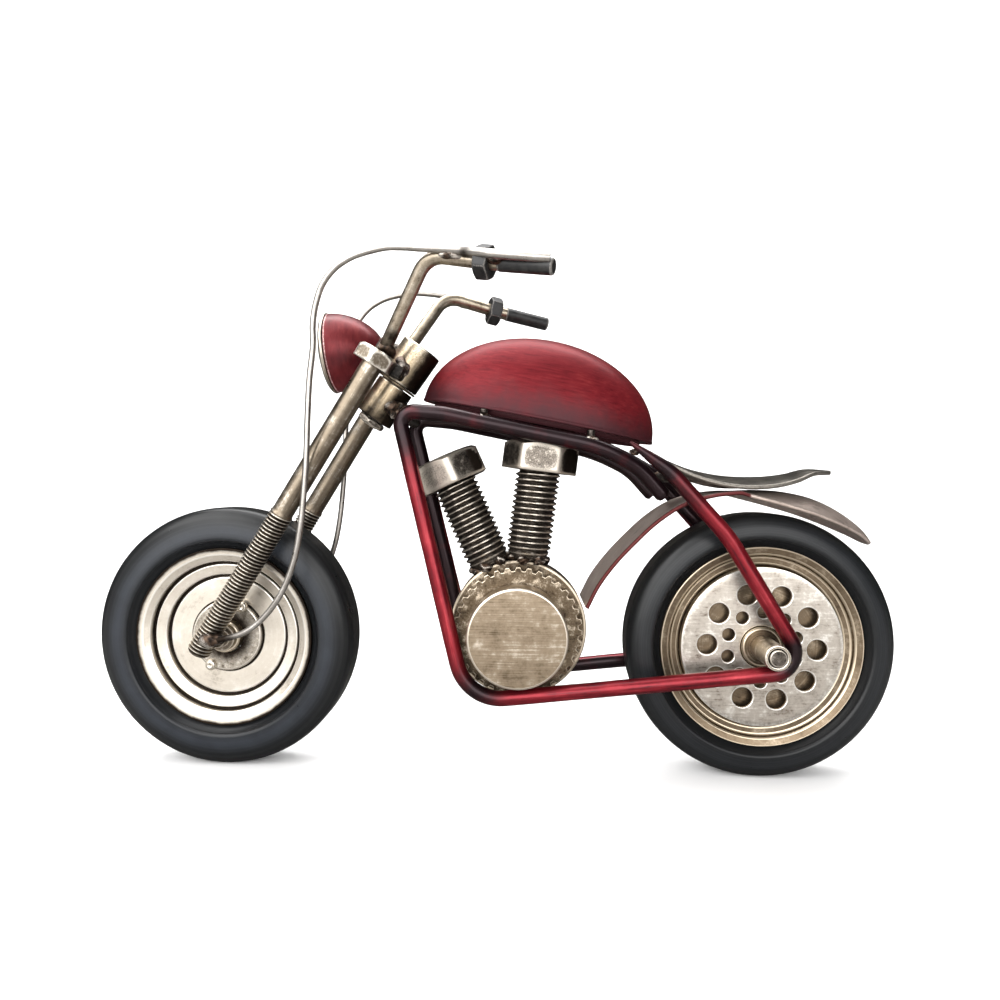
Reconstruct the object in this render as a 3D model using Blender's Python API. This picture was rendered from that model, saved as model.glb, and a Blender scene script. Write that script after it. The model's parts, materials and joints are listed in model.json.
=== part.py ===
"""Desk ornament: a chopper motorcycle welded up from steel rod, sheet and hex bolts.

The bike stands on both tyres. Its nose points to -X, its left side to -Y, and the origin is on the ground
at the middle of the bounding box. Lengths below are in millimetres and become metres in metres().
The fork turns about the raked head axis, and both wheels spin on their axles.
"""

from math import cos, pi, radians, sin, tan

import bmesh
import bpy
import numpy as np
from mathutils import Matrix, Vector

# ---------------------------------------------------------------- driving dimensions, in millimetres
GAP = 0.3                     # clearance between touching pieces
WHEEL_BASE = 189.0
TYRE_RADIUS = 46.3            # to the corners of the tread's facets
TYRE_SEGMENTS = 40
TYRE_HALF_WIDTH = 9.5
TREAD_HALF_WIDTH = 3.6        # flat running band, which the bike stands on
WHEEL_SEGMENTS = 24

AXLE_HEIGHT = TYRE_RADIUS * cos(pi / TYRE_SEGMENTS)
FRONT_X = -WHEEL_BASE / 2
REAR_X = WHEEL_BASE / 2

FRAME_ROD = 2.65              # radius of the bent frame rods
RAIL_Y = 17.3                 # half distance between the two frame loops
BAR_RADIUS = 2.35             # handlebar rod
WIRE_RADIUS = 0.9             # brake wires

HEAD_POINT = (-34.1, 0.0, 136.9)      # on the head axis, at the top of the head tube
HEAD_ANGLE = radians(55.0)            # rake of the head axis from the ground
BOSS_RADIUS = 7.5
HEAD_TUBE_RADIUS = 6.85
STEM_RADIUS = 3.0

LEG_Y = 17.0
LEG_TOP = (-38.0, LEG_Y, 143.5)       # middle of the bolt head
LEG_BOTTOM = (-99.3, LEG_Y, 42.8)
LEG_RADIUS = 3.65
LEG_THREAD_RADIUS = 4.0
LEG_THREAD_LENGTH = 56.0
LEG_HEAD_ACROSS_FLATS = 13.0
LEG_HEAD_HEIGHT = 5.3

DRUM_X, DRUM_Z = 10.4, 50.6           # middle of the engine drum
DRUM_RADIUS = 24.1
DRUM_HALF_WIDTH = 5.5
TOOTH_COUNT = 36
TOOTH_RADIUS = 22.4
CAP_RADIUS = 16.9
CAP_FACE_Y = 23.0
CYLINDER_LEANS = {"cylinder_bolt_front": radians(-24.5), "cylinder_bolt_rear": radians(7.0)}
CYLINDER_TURNS = {"cylinder_bolt_front": radians(8.0), "cylinder_bolt_rear": radians(30.0)}   # of the heads
BOLT_RADIUS = 8.0
BOLT_POINT, BOLT_CHAMFER = 6.5, 4.9   # the points are ground so that the two bolts meet side by side
BOLT_SHANK = 31.6
BOLT_HEAD_HEIGHT = 10.2
BOLT_ACROSS_FLATS = 24.0

TANK_CENTRE = (16.5, 0.0, 123.6)
TANK_TILT = radians(-10.6)
TANK_HALF_LENGTH, TANK_HALF_WIDTH, TANK_HEIGHT = 41.4, 17.6, 29.4
SHEET = 1.2                   # wall of the tank and the pressed sheets

LAMP_FRONT = (-57.0, 0.0, 148.2)      # middle of the lamp's rim plane
LAMP_TILT = radians(5.8)
LAMP_RADIUS = 14.0
LAMP_DEPTH = 18.6

FINISHES = {
    # name: (base colour, roughness, metallic)
    "bronze": ((0.36, 0.30, 0.23), 0.38, 0.95),
    "champagne": ((0.62, 0.57, 0.48), 0.35, 0.95),
    "red_lacquer": ((0.28, 0.02, 0.035), 0.25, 0.35),
    "tyre_rubber": ((0.02, 0.02, 0.022), 0.45, 0.0),
    "dark_steel": ((0.12, 0.11, 0.10), 0.4, 0.9),
    "black_paint": ((0.015, 0.015, 0.016), 0.4, 0.1),
    "bright_wire": ((0.66, 0.64, 0.60), 0.25, 1.0),
    "seat_metal": ((0.13, 0.13, 0.12), 0.4, 0.7),
    "taupe_metal": ((0.34, 0.28, 0.25), 0.4, 0.6),
    "lens_glass": ((0.75, 0.72, 0.66), 0.1, 0.0),
}


# ---------------------------------------------------------------- helpers
def metres(points):
    """Millimetre points as an array of metres."""
    return np.asarray(points, float) * 0.001


def unit(vector):
    vector = np.asarray(vector, float)
    return vector / np.linalg.norm(vector)


def side_name(base, side):
    """side is -1 for the bike's left and +1 for its right."""
    return base + ("_left" if side < 0 else "_right")


def finish(name):
    """The Principled material of that finish, made on first use."""
    material = bpy.data.materials.get(name)
    if material is None:
        colour, roughness, metallic = FINISHES[name]
        material = bpy.data.materials.new(name)
        material.use_nodes = True
        shader = material.node_tree.nodes["Principled BSDF"]
        shader.inputs["Base Color"].default_value = (*colour, 1.0)
        shader.inputs["Roughness"].default_value = roughness
        shader.inputs["Metallic"].default_value = metallic
    return material


def pivot(name, point, axis=(0, 1, 0)):
    """An empty on a joint axis, with its local Z along that axis."""
    empty = bpy.data.objects.new(name, None)
    turn = Vector((0, 0, 1)).rotation_difference(Vector(unit(axis))).to_matrix().to_4x4()
    empty.matrix_world = Matrix.Translation(Vector(metres(point))) @ turn
    bpy.context.scene.collection.objects.link(empty)
    bpy.context.view_layer.update()
    return empty


def place(obj, material, parent=None):
    """Links an object made in world coordinates, gives it its own finish and hangs it on its pivot."""
    bpy.context.scene.collection.objects.link(obj)
    own = finish(material).copy()
    own.name = obj.name
    obj.data.materials.append(own)
    if parent is not None:
        obj.parent = parent
        obj.matrix_parent_inverse = parent.matrix_world.inverted()
    return obj


def skin(name, rings, closed=False, smooth=True):
    """A mesh object over a row of rings (N x 3, millimetres). A ring of one point is a pole.

    closed joins the last ring to the first; otherwise open end rings are capped.
    """
    bm = bmesh.new()
    rows = [[bm.verts.new(p) for p in metres(ring)] for ring in rings]
    pairs = list(zip(rows, rows[1:] + rows[:1])) if closed else list(zip(rows, rows[1:]))
    for first, second in pairs:
        count = max(len(first), len(second))
        for i in range(count):
            j = (i + 1) % count
            corners = []
            for row, k in ((first, i), (first, j), (second, j), (second, i)):
                vert = row[k % len(row)]
                if vert not in corners:
                    corners.append(vert)
            bm.faces.new(corners)
    if not closed:
        for row in (rows[0], rows[-1]):
            if len(row) > 2:
                bm.faces.new(row)
    bmesh.ops.recalc_face_normals(bm, faces=bm.faces)
    mesh = bpy.data.meshes.new(name)
    bm.to_mesh(mesh)
    bm.free()
    if smooth:
        mesh.shade_smooth()
        mesh.set_sharp_from_angle(angle=radians(35))
    return bpy.data.objects.new(name, mesh)


def hexagon(angle):
    """Radius of a hexagon with flats at distance 1, at that angle; its corners lie at 30, 90 ... degrees."""
    return 1.0 / np.cos((np.asarray(angle) + pi / 6) % (pi / 3) - pi / 6)


def axis_frame(axis):
    """Two unit vectors square to an axis: the first lies in the plane of the axis and world Y."""
    axis = unit(axis)
    across = unit(np.cross(axis, (0, 1, 0))) if abs(axis[1]) < 0.9 else np.array((1.0, 0.0, 0.0))
    return across, np.cross(axis, across)


def turned(name, profile, origin, axis, segments=24, closed=False, phase=0.0, outline=None):
    """A turned solid. profile is a list of (radius, distance along the axis), with True added for a hexagon.

    outline(index) scales the radius of each segment, for teeth. closed is for ring-shaped sections.
    """
    axis = unit(axis)
    across, other = axis_frame(axis)
    angles = phase + np.arange(segments) * 2 * pi / segments
    rings = []
    for radius, along, *shape in profile:
        centre = np.asarray(origin, float) + axis * along
        if radius == 0:
            rings.append([centre])
            continue
        scale = np.ones(segments)
        if shape:
            scale = hexagon(angles - phase)
        elif outline is not None:
            scale = outline(np.arange(segments))
        reach = (radius * scale)[:, None]
        rings.append(centre + reach * (np.cos(angles)[:, None] * across + np.sin(angles)[:, None] * other))
    return skin(name, rings, closed)


def bent_route(corners, step=5.0):
    """Points along a rod bent at its corners. Each corner is (x, y, z, bend radius); the ends need none."""
    points = [np.array(corners[0][:3], float)]
    for before, corner, after in zip(corners, corners[1:], corners[2:]):
        vertex, radius = np.array(corner[:3], float), corner[3]
        back, ahead = unit(np.array(before[:3]) - vertex), unit(np.array(after[:3]) - vertex)
        half = 0.5 * np.arccos(np.clip(back @ ahead, -1, 1))
        reach = radius / tan(half)
        centre = vertex + unit(back + ahead) * radius / sin(half)
        start, end = vertex + back * reach - centre, vertex + ahead * reach - centre
        sweep = pi - 2 * half
        count = max(2, int(np.ceil(max(radius * sweep / step, sweep / radians(16)))))
        for i in range(count + 1):
            t = i / count
            points.append(centre + (sin((1 - t) * sweep) * start + sin(t * sweep) * end) / sin(sweep))
    points.append(np.array(corners[-1][:3], float))
    return points


def smooth_route(points, per_span):
    """Points on a Catmull-Rom curve through hand-placed ones."""
    knots = np.array(points, float)
    knots = np.vstack([2 * knots[0] - knots[1], knots, 2 * knots[-1] - knots[-2]])
    route = []
    for a, b, c, d in zip(knots, knots[1:], knots[2:], knots[3:]):
        for i in range(per_span):
            t = i / per_span
            route.append(0.5 * (2 * b + (c - a) * t + (2 * a - 5 * b + 4 * c - d) * t ** 2
                                + (3 * b - a - 3 * c + d) * t ** 3))
    route.append(knots[-2])
    return route


def rod(name, route, radius):
    """A round rod along a route, as a curve with filled caps."""
    curve = bpy.data.curves.new(name, "CURVE")
    curve.dimensions = "3D"
    curve.bevel_depth = radius * 0.001
    curve.bevel_resolution = 2
    curve.use_fill_caps = True
    spline = curve.splines.new("POLY")
    spline.points.add(len(route) - 1)
    for point, place_at in zip(spline.points, metres(route)):
        point.co = (*place_at, 1.0)
    return bpy.data.objects.new(name, curve)


def mirrored(route, side):
    """A route written for the right side, on either side."""
    return [(p[0], side * p[1], *p[2:]) for p in route]


def pressed_sheet(name, line, half_widths, droops, thickness, strips=4):
    """A curved metal strip: line is its middle in X and Z, with a half width and an edge droop at each point.

    The section across is a parabola that falls by the droop at its edges.
    """
    line = np.array(line, float)
    tangent = np.gradient(line, axis=0)
    tangent /= np.linalg.norm(tangent, axis=1)[:, None]
    normal = np.stack([-tangent[:, 1], tangent[:, 0]], axis=1)
    across = np.linspace(-1, 1, strips + 1)
    rings = []
    for (x, z), (nx, nz), width, droop in zip(line, normal, half_widths, droops):
        ring = []
        for offset, order in ((thickness / 2, across), (-thickness / 2, across[::-1])):
            for u in order:
                fall = offset - droop * u * u
                ring.append((x + nx * fall, u * width, z + nz * fall))
        rings.append(ring)
    return skin(name, rings)


def cut(target, cutter):
    """Takes the cutter's shape out of the target and keeps it hidden as a guide."""
    bpy.context.scene.collection.objects.link(cutter)
    cutter.hide_render = True
    cutter.display_type = "WIRE"
    modifier = target.modifiers.new("cut", "BOOLEAN")
    modifier.operation = "DIFFERENCE"
    modifier.solver = "EXACT"
    modifier.object = cutter


def from_head(along, forward=0.0, y=0.0):
    """A point placed along the head axis and square to it, forward of it, in millimetres."""
    ahead = np.array((-HEAD_AXIS[2], 0.0, HEAD_AXIS[0]))
    return np.array(HEAD_POINT) + HEAD_AXIS * along + ahead * forward + np.array((0.0, y, 0.0))


for old in list(bpy.data.objects):
    bpy.data.objects.remove(old)

HEAD_AXIS = np.array((cos(HEAD_ANGLE), 0.0, sin(HEAD_ANGLE)))
ACROSS = (0.0, 1.0, 0.0)
FRONT_AXLE = (FRONT_X, 0.0, AXLE_HEIGHT)
REAR_AXLE = (REAR_X, 0.0, AXLE_HEIGHT)
SIDES = (-1, 1)

fork_pivot = pivot("fork_pivot", HEAD_POINT, HEAD_AXIS)
front_wheel_pivot = pivot("front_wheel_pivot", FRONT_AXLE)
rear_wheel_pivot = pivot("rear_wheel_pivot", REAR_AXLE)


# ---------------------------------------------------------------- frame: two bent rod loops
# Each loop is one rod. It starts as a tail under the saddle, runs forward along the tank to the head,
# down in front of the engine, back along the bottom, round the rear axle and up to its pointed end,
# which lies on the outside of the tail.
FRAME_CORNERS = [
    (60.0, 10.9, 97.6),
    (51.5, 12.1, 107.2, 22.0),
    (38.0, 16.0, 114.2, 40.0),
    (-15.5, 16.8, 125.0, 30.0),
    (-31.0, 15.4, 126.2, 4.5),
    (-6.8, RAIL_Y, 27.9, 15.0),
    (107.0, RAIL_Y, 40.6, 7.5),
    (80.0, RAIL_Y, 84.6, 60.0),
    (60.5, RAIL_Y, 106.2, 30.0),
    (47.0, 18.2, 115.8),
]
for side in SIDES:
    route = mirrored(bent_route(FRAME_CORNERS, step=9.0), side)
    place(rod(side_name("frame_loop", side), route, FRAME_ROD), "red_lacquer")

# Cross rods weld the loops together at the head and under the saddle's nose.
CROSSBARS = {
    # name: (x, half length, z, radius)
    "head_crossbar": (-29.6, 12.3, 124.6, 2.2),
    "seat_crossbar": (62.3, RAIL_Y - FRAME_ROD - GAP, 104.4, 1.8),
}
for name, (x, reach, z, radius) in CROSSBARS.items():
    place(rod(name, [(x, -reach, z), (x, reach, z)], radius), "dark_steel")

# ---------------------------------------------------------------- head tube, with the stem's bore
HEAD_TUBE_LOW, HEAD_TUBE_HIGH = -14.6, -0.9
BORE = STEM_RADIUS + GAP
TUBE_EDGE = 0.4                       # chamfer of the tube's ends
head_tube_profile = [
    (BORE, HEAD_TUBE_LOW), (HEAD_TUBE_RADIUS - TUBE_EDGE, HEAD_TUBE_LOW),
    (HEAD_TUBE_RADIUS, HEAD_TUBE_LOW + TUBE_EDGE), (HEAD_TUBE_RADIUS, HEAD_TUBE_HIGH - TUBE_EDGE),
    (HEAD_TUBE_RADIUS - TUBE_EDGE, HEAD_TUBE_HIGH), (BORE, HEAD_TUBE_HIGH),
]
place(turned("head_tube", head_tube_profile, HEAD_POINT, HEAD_AXIS, 24, closed=True), "bronze")

# ---------------------------------------------------------------- tank: a pressed dome on a flat floor
TANK_ROUND, TANK_RISE = 24, 6         # segments round the rim and up to the crown
along_tank = np.array((cos(TANK_TILT), 0.0, sin(TANK_TILT)))
above_tank = np.array((-sin(TANK_TILT), 0.0, cos(TANK_TILT)))


def tank_dome(inset):
    """Rings of a half ellipsoid from its rim to its crown, smaller than the tank by the inset."""
    rings = []
    turn = np.arange(TANK_ROUND) * 2 * pi / TANK_ROUND
    for i in range(TANK_RISE):
        lift = pi / 2 * i / TANK_RISE
        length, width = (TANK_HALF_LENGTH - inset) * cos(lift), (TANK_HALF_WIDTH - inset) * cos(lift)
        height = (TANK_HEIGHT - inset) * sin(lift)
        rings.append(np.array(TANK_CENTRE) + height * above_tank
                     + (length * np.cos(turn))[:, None] * along_tank
                     + (width * np.sin(turn))[:, None] * np.array(ACROSS))
    rings.append([np.array(TANK_CENTRE) + (TANK_HEIGHT - inset) * above_tank])
    return rings


tank_rings = tank_dome(SHEET)[::-1] + tank_dome(0.0)
place(skin("fuel_tank", tank_rings), "red_lacquer")

FLOOR_INSET = SHEET + GAP + 0.2       # the floor plate lies inside the dome's wall
FLOOR_LIFT = 0.1
floor_turn = np.arange(TANK_ROUND) * 2 * pi / TANK_ROUND
floor_rings = [
    np.array(TANK_CENTRE) + level * above_tank
    + ((TANK_HALF_LENGTH - FLOOR_INSET) * np.cos(floor_turn))[:, None] * along_tank
    + ((TANK_HALF_WIDTH - FLOOR_INSET) * np.sin(floor_turn))[:, None] * np.array(ACROSS)
    for level in (FLOOR_LIFT, FLOOR_LIFT + SHEET)
]
place(skin("tank_floor", floor_rings), "red_lacquer")

# Four short lugs stand on the rails and carry the tank's rim. Each is (x, y, foot, top).
TANK_LUGS = {"tank_lug_front": (-1.6, 16.1, 125.4, 126.7), "tank_lug_rear": (34.4, 15.6, 117.6, 119.9)}
LUG_RADIUS = 1.3
for base, (x, y, low, high) in TANK_LUGS.items():
    for side in SIDES:
        lug = rod(side_name(base, side), [(x, side * y, low), (x, side * y, high)], LUG_RADIUS)
        place(lug, "dark_steel")

# ---------------------------------------------------------------- saddle: a leaf-shaped dished pan
SEAT_HALF_WIDTH, SEAT_TIP, SEAT_DROOP, SEAT_SHEET = 13.2, 1.2, 2.9, 1.5
seat_line = smooth_route([(60.6, 110.4), (70.6, 106.6), (82.6, 104.4), (94.9, 104.2), (104.0, 105.3),
                          (111.0, 107.0), (118.8, 106.6)], 2)
seat_share = np.linspace(0, 1, len(seat_line))
seat_half = SEAT_TIP + (SEAT_HALF_WIDTH - SEAT_TIP) * np.sin(pi * (0.06 + 0.92 * seat_share)) ** 0.62
seat_droop = SEAT_DROOP * (seat_half / SEAT_HALF_WIDTH) ** 2
place(pressed_sheet("seat_pan", seat_line, seat_half, seat_droop, SEAT_SHEET), "seat_metal")

# ---------------------------------------------------------------- rear fender: a strip ending in a leaf
FENDER_HALF_WIDTH, FENDER_DROOP, FENDER_SHEET = 14.2, 5.0, 1.3
LEAF_START = 0.56                     # share of the length at which the leaf begins to narrow
fender_line = smooth_route([(36.9, 57.6), (38.2, 67.2), (43.3, 75.0), (50.0, 82.3), (57.4, 89.3), (66.0, 95.0),
                            (76.0, 98.2), (86.0, 99.3), (95.5, 99.6), (104.5, 98.8), (113.4, 96.6),
                            (122.0, 92.4), (129.4, 86.8), (133.8, 81.6)], 1)
fender_share = np.linspace(0, 1, len(fender_line))
leaf_share = np.clip((fender_share - LEAF_START) / (1 - LEAF_START), 0, 1)
fender_half = FENDER_HALF_WIDTH * np.sqrt(np.clip(1 - leaf_share ** 2.6, 0.006, 1))
fender_droop = FENDER_DROOP * np.abs(np.sin(pi * leaf_share)) ** 0.8
place(pressed_sheet("rear_fender", fender_line, fender_half, fender_droop, FENDER_SHEET), "taupe_metal")

# ---------------------------------------------------------------- engine: drum, toothed rings and caps
DRUM_CENTRE = (DRUM_X, 0.0, DRUM_Z)
RING_LOW, RING_HIGH = DRUM_HALF_WIDTH + GAP, 11.0
TOOTH_DEPTH = 1.3
NECK_RADIUS = 12.5
CAP_BACK = 13.0
DRUM_EDGE, CAP_EDGE = 0.6, 0.9
DRUM_SEGMENTS, CAP_SEGMENTS = 36, 24
drum_half = [(DRUM_RADIUS, DRUM_HALF_WIDTH - DRUM_EDGE), (DRUM_RADIUS - DRUM_EDGE, DRUM_HALF_WIDTH),
             (0, DRUM_HALF_WIDTH)]
drum_profile = [(r, -y) for r, y in reversed(drum_half)] + drum_half
place(turned("engine_drum", drum_profile, DRUM_CENTRE, ACROSS, DRUM_SEGMENTS), "bronze")


def teeth(index):
    """Tips and roots in turn round the toothed ring."""
    return np.where(index % 2 == 0, 1.0, 1.0 - TOOTH_DEPTH / TOOTH_RADIUS)


cap_profile = [(0, RING_LOW), (NECK_RADIUS, RING_LOW), (NECK_RADIUS, CAP_BACK), (CAP_RADIUS, CAP_BACK),
               (CAP_RADIUS, CAP_FACE_Y - CAP_EDGE), (CAP_RADIUS - CAP_EDGE, CAP_FACE_Y), (0, CAP_FACE_Y)]
for side in SIDES:
    outward = (0.0, float(side), 0.0)
    ring = turned(side_name("toothed_ring", side),
                  [(TOOTH_RADIUS, RING_LOW), (TOOTH_RADIUS, RING_HIGH)],
                  DRUM_CENTRE, outward, 2 * TOOTH_COUNT, outline=teeth)
    bore = turned(side_name("ring_bore", side), [(NECK_RADIUS + GAP, 0.0), (NECK_RADIUS + GAP, 2 * RING_HIGH)],
                  DRUM_CENTRE, outward, CAP_SEGMENTS)
    cut(place(ring, "bronze"), bore)
    place(turned(side_name("engine_cap", side), cap_profile, DRUM_CENTRE, outward, CAP_SEGMENTS), "champagne")

# Two large hex bolts stand on the drum, threads down, as the cylinders of a V-twin.
BOLT_FLAT = BOLT_ACROSS_FLATS / 2
BOLT_TOP = BOLT_SHANK + BOLT_HEAD_HEIGHT
HEAD_CHAMFER = 1.6                    # drop of the head's corners below its round top face
bolt_profile = [
    (0, 0), (BOLT_POINT, 0), (BOLT_RADIUS, BOLT_CHAMFER), (BOLT_RADIUS, BOLT_SHANK), (BOLT_FLAT, BOLT_SHANK, True),
    (BOLT_FLAT, BOLT_TOP - HEAD_CHAMFER, True), (BOLT_FLAT * 0.95, BOLT_TOP), (0, BOLT_TOP),
]
for name, lean in CYLINDER_LEANS.items():
    direction = np.array((sin(lean), 0.0, cos(lean)))
    foot = np.array(DRUM_CENTRE) + direction * (DRUM_RADIUS + GAP)
    place(turned(name, bolt_profile, foot, direction, 24, phase=CYLINDER_TURNS[name]), "dark_steel")

# ---------------------------------------------------------------- rear axle and its spacer tubes
SPACER_RADIUS, REAR_AXLE_RADIUS = 4.2, 2.8
SPACER_IN, SPACER_OUT, SPACER_EDGE = 9.1, 24.0, 0.3
REAR_AXLE_END = 24.6
rear_axle_route = [(REAR_X, -REAR_AXLE_END, AXLE_HEIGHT), (REAR_X, REAR_AXLE_END, AXLE_HEIGHT)]
place(rod("rear_axle", rear_axle_route, REAR_AXLE_RADIUS), "dark_steel")
spacer_bore = REAR_AXLE_RADIUS + GAP
spacer_profile = [(spacer_bore, SPACER_IN), (SPACER_RADIUS, SPACER_IN), (SPACER_RADIUS, SPACER_OUT - SPACER_EDGE),
                  (SPACER_RADIUS - SPACER_EDGE, SPACER_OUT), (spacer_bore, SPACER_OUT)]
for side in SIDES:
    outward = (0.0, float(side), 0.0)
    place(turned(side_name("rear_spacer", side), spacer_profile, REAR_AXLE, outward, 16, closed=True), "champagne")


# ---------------------------------------------------------------- wheels
def tyre(name, centre, bead_radius, parent):
    """A round-shouldered tyre with a flat running band; its bottom facet lies on the ground."""
    depth, bulge = TYRE_RADIUS - bead_radius, TYRE_HALF_WIDTH - TREAD_HALF_WIDTH
    half = [(TYRE_RADIUS, TREAD_HALF_WIDTH)]
    for angle in radians(35), radians(75), radians(120):
        half.append((TYRE_RADIUS - 0.52 * depth * (1 - cos(angle)), TREAD_HALF_WIDTH + bulge * sin(angle) ** 0.8))
    half.append((bead_radius, TYRE_HALF_WIDTH - 2.6))
    section = half + [(r, -y) for r, y in reversed(half)]
    phase = pi / TYRE_SEGMENTS
    ring = turned(name, section, centre, ACROSS, TYRE_SEGMENTS, closed=True, phase=phase)
    return place(ring, "tyre_rubber", parent)


# Rear wheel: stepped pressed rims, bright perforated discs and a hub tube on the axle.
REAR_BEAD = 35.0
tyre("rear_tyre", REAR_AXLE, REAR_BEAD, rear_wheel_pivot)
HUB_BORE = REAR_AXLE_RADIUS + GAP
REAR_SEAT = REAR_BEAD - GAP - 0.1      # the rim's outer radius, inside the tyre's bead
rear_rim_profile = [
    (8.0, 4.6), (27.2, 4.6), (28.6, 6.2), (31.0, 6.4), (31.9, 7.8), (REAR_SEAT, 8.6), (REAR_SEAT, 0.2),
    (32.4, 0.2), (29.0, 3.4), (8.0, 3.4),
]
DISC_BORE, DISC_RADIUS, DISC_IN, DISC_OUT = 7.4, 27.6, 7.3, 8.5
HOLE_COUNT = 10                       # in each of the two rings of holes
HOLE_START = radians(34.0)
HOLE_RINGS = {
    # name: (hole radius, ring radius, first hole's angle, sides)
    "big": (3.75, 18.7, HOLE_START, 10),
    "small": (2.45, 12.1, HOLE_START + pi / HOLE_COUNT, 8),
}
for side in SIDES:
    outward = (0.0, float(side), 0.0)
    rim = turned(side_name("rear_rim", side), rear_rim_profile, REAR_AXLE, outward, WHEEL_SEGMENTS, closed=True)
    place(rim, "bronze", rear_wheel_pivot)
    disc = turned(side_name("rear_disc", side),
                  [(DISC_BORE, DISC_IN), (DISC_RADIUS, DISC_IN), (DISC_RADIUS, DISC_OUT), (DISC_BORE, DISC_OUT)],
                  REAR_AXLE, outward, WHEEL_SEGMENTS, closed=True)
    place(disc, "champagne", rear_wheel_pivot)
    for size, (radius, ring, start, sides) in HOLE_RINGS.items():
        for i in range(HOLE_COUNT):
            turn = start + 2 * pi * i / HOLE_COUNT
            at = (REAR_X + ring * cos(turn), 0.0, AXLE_HEIGHT + ring * sin(turn))
            hole = turned(f"{disc.name}_{size}_hole_{i}", [(radius, DISC_IN - 1), (radius, DISC_OUT + 1)],
                          at, outward, sides)
            cut(disc, hole)
hub_profile = [(HUB_BORE, -8.8), (6.4, -8.8), (7.0, -8.2), (7.0, 8.2), (6.4, 8.8), (HUB_BORE, 8.8)]
place(turned("rear_hub", hub_profile, REAR_AXLE, ACROSS, 16, closed=True), "bronze", rear_wheel_pivot)

# Front wheel: dished discs with two grooves, a riveted flange on each side and a hub tube.
FRONT_BEAD = 32.2
tyre("front_tyre", FRONT_AXLE, FRONT_BEAD, front_wheel_pivot)
FRONT_AXLE_RADIUS = 2.7
front_bore = FRONT_AXLE_RADIUS + GAP
FRONT_SEAT = FRONT_BEAD - GAP - 0.1
front_rim_profile = [
    (6.2, 3.0), (21.4, 3.4), (22.2, 4.6), (26.0, 5.2), (26.9, 6.6), (29.5, 7.6), (FRONT_SEAT, 7.9),
    (FRONT_SEAT, 0.2), (29.6, 0.2), (26.0, 3.2), (21.6, 2.0), (6.2, 1.8),
]
flange_profile = [(6.2, 3.3 + GAP), (12.6, 3.45 + GAP), (12.6, 4.6), (12.2, 4.9), (6.2, 4.9)]
RIVET_TURN, RIVET_RING = radians(62.0), 12.0
rivet_profile = [(0, 5.2), (2.0, 5.2), (1.9, 5.9), (1.2, 6.5), (0, 6.7)]
for side in SIDES:
    outward = (0.0, float(side), 0.0)
    rim = turned(side_name("front_rim", side), front_rim_profile, FRONT_AXLE, outward, WHEEL_SEGMENTS, closed=True)
    place(rim, "champagne", front_wheel_pivot)
    flange = turned(side_name("front_flange", side), flange_profile, FRONT_AXLE, outward, 24, closed=True)
    place(flange, "champagne", front_wheel_pivot)
    for i in range(2):
        turn = RIVET_TURN + pi * i
        at = (FRONT_X + RIVET_RING * cos(turn), 0.0, AXLE_HEIGHT + RIVET_RING * sin(turn))
        rivet = turned(side_name(f"front_rivet_{i + 1}", side), rivet_profile, at, outward, 10)
        place(rivet, "champagne", front_wheel_pivot)
front_hub_profile = [(front_bore, -7.4), (5.2, -7.4), (5.7, -6.9), (5.7, 6.9), (5.2, 7.4), (front_bore, 7.4)]
place(turned("front_hub", front_hub_profile, FRONT_AXLE, ACROSS, 16, closed=True), "bronze", front_wheel_pivot)

# ---------------------------------------------------------------- fork: boss, stem and legs
BOSS_LOW, BOSS_HIGH, BOSS_EDGE = 1.0, 16.0, 0.6
STEM_LOW, STEM_HIGH = -17.6, 12.0
boss_profile = [
    (0, STEM_HIGH + GAP), (BORE, STEM_HIGH + GAP), (BORE, BOSS_LOW), (BOSS_RADIUS, BOSS_LOW),
    (BOSS_RADIUS, BOSS_HIGH - BOSS_EDGE), (BOSS_RADIUS - BOSS_EDGE, BOSS_HIGH), (0, BOSS_HIGH),
]
place(turned("steering_boss", boss_profile, HEAD_POINT, HEAD_AXIS, 24), "bronze", fork_pivot)
washer_profile = [(BORE, -0.2), (BOSS_RADIUS, -0.2), (BOSS_RADIUS, 0.6), (BORE, 0.6)]
place(turned("steering_washer", washer_profile, HEAD_POINT, HEAD_AXIS, 24, closed=True), "champagne", fork_pivot)
stem_profile = [(0, STEM_LOW), (STEM_RADIUS, STEM_LOW), (STEM_RADIUS, STEM_HIGH), (0, STEM_HIGH)]
place(turned("steering_stem", stem_profile, HEAD_POINT, HEAD_AXIS, 16), "dark_steel", fork_pivot)
nut_profile = [(BORE, -17.2), (4.7, -17.2, True), (4.7, -15.0, True), (BORE, -15.0)]
place(turned("stem_nut", nut_profile, HEAD_POINT, HEAD_AXIS, 12, closed=True), "dark_steel", fork_pivot)

leg_vector = np.array(LEG_TOP) - np.array(LEG_BOTTOM)
leg_length = np.linalg.norm(leg_vector)
leg_axis = leg_vector / leg_length
leg_behind = np.array((leg_axis[2], 0.0, -leg_axis[0]))
head_low, head_high = leg_length - LEG_HEAD_HEIGHT / 2, leg_length + LEG_HEAD_HEIGHT / 2
LEG_FLAT = LEG_HEAD_ACROSS_FLATS / 2
leg_profile = [
    (0, 0), (LEG_THREAD_RADIUS - 0.5, 0), (LEG_THREAD_RADIUS, 0.6), (LEG_THREAD_RADIUS, LEG_THREAD_LENGTH),
    (LEG_RADIUS, LEG_THREAD_LENGTH + 0.8), (LEG_RADIUS, head_low), (LEG_FLAT, head_low, True),
    (LEG_FLAT, head_high - 0.8, True), (LEG_FLAT * 0.95, head_high), (0, head_high),
]
ARM_HEIGHT, ARM_DEPTH, ARM_BEHIND = 4.8, 8.0, 5.5
ARM_IN, ARM_OUT = 4.0, 13.6
boss_room_profile = [(BOSS_RADIUS + GAP, -6.0), (BOSS_RADIUS + GAP, 20.0)]
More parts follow.
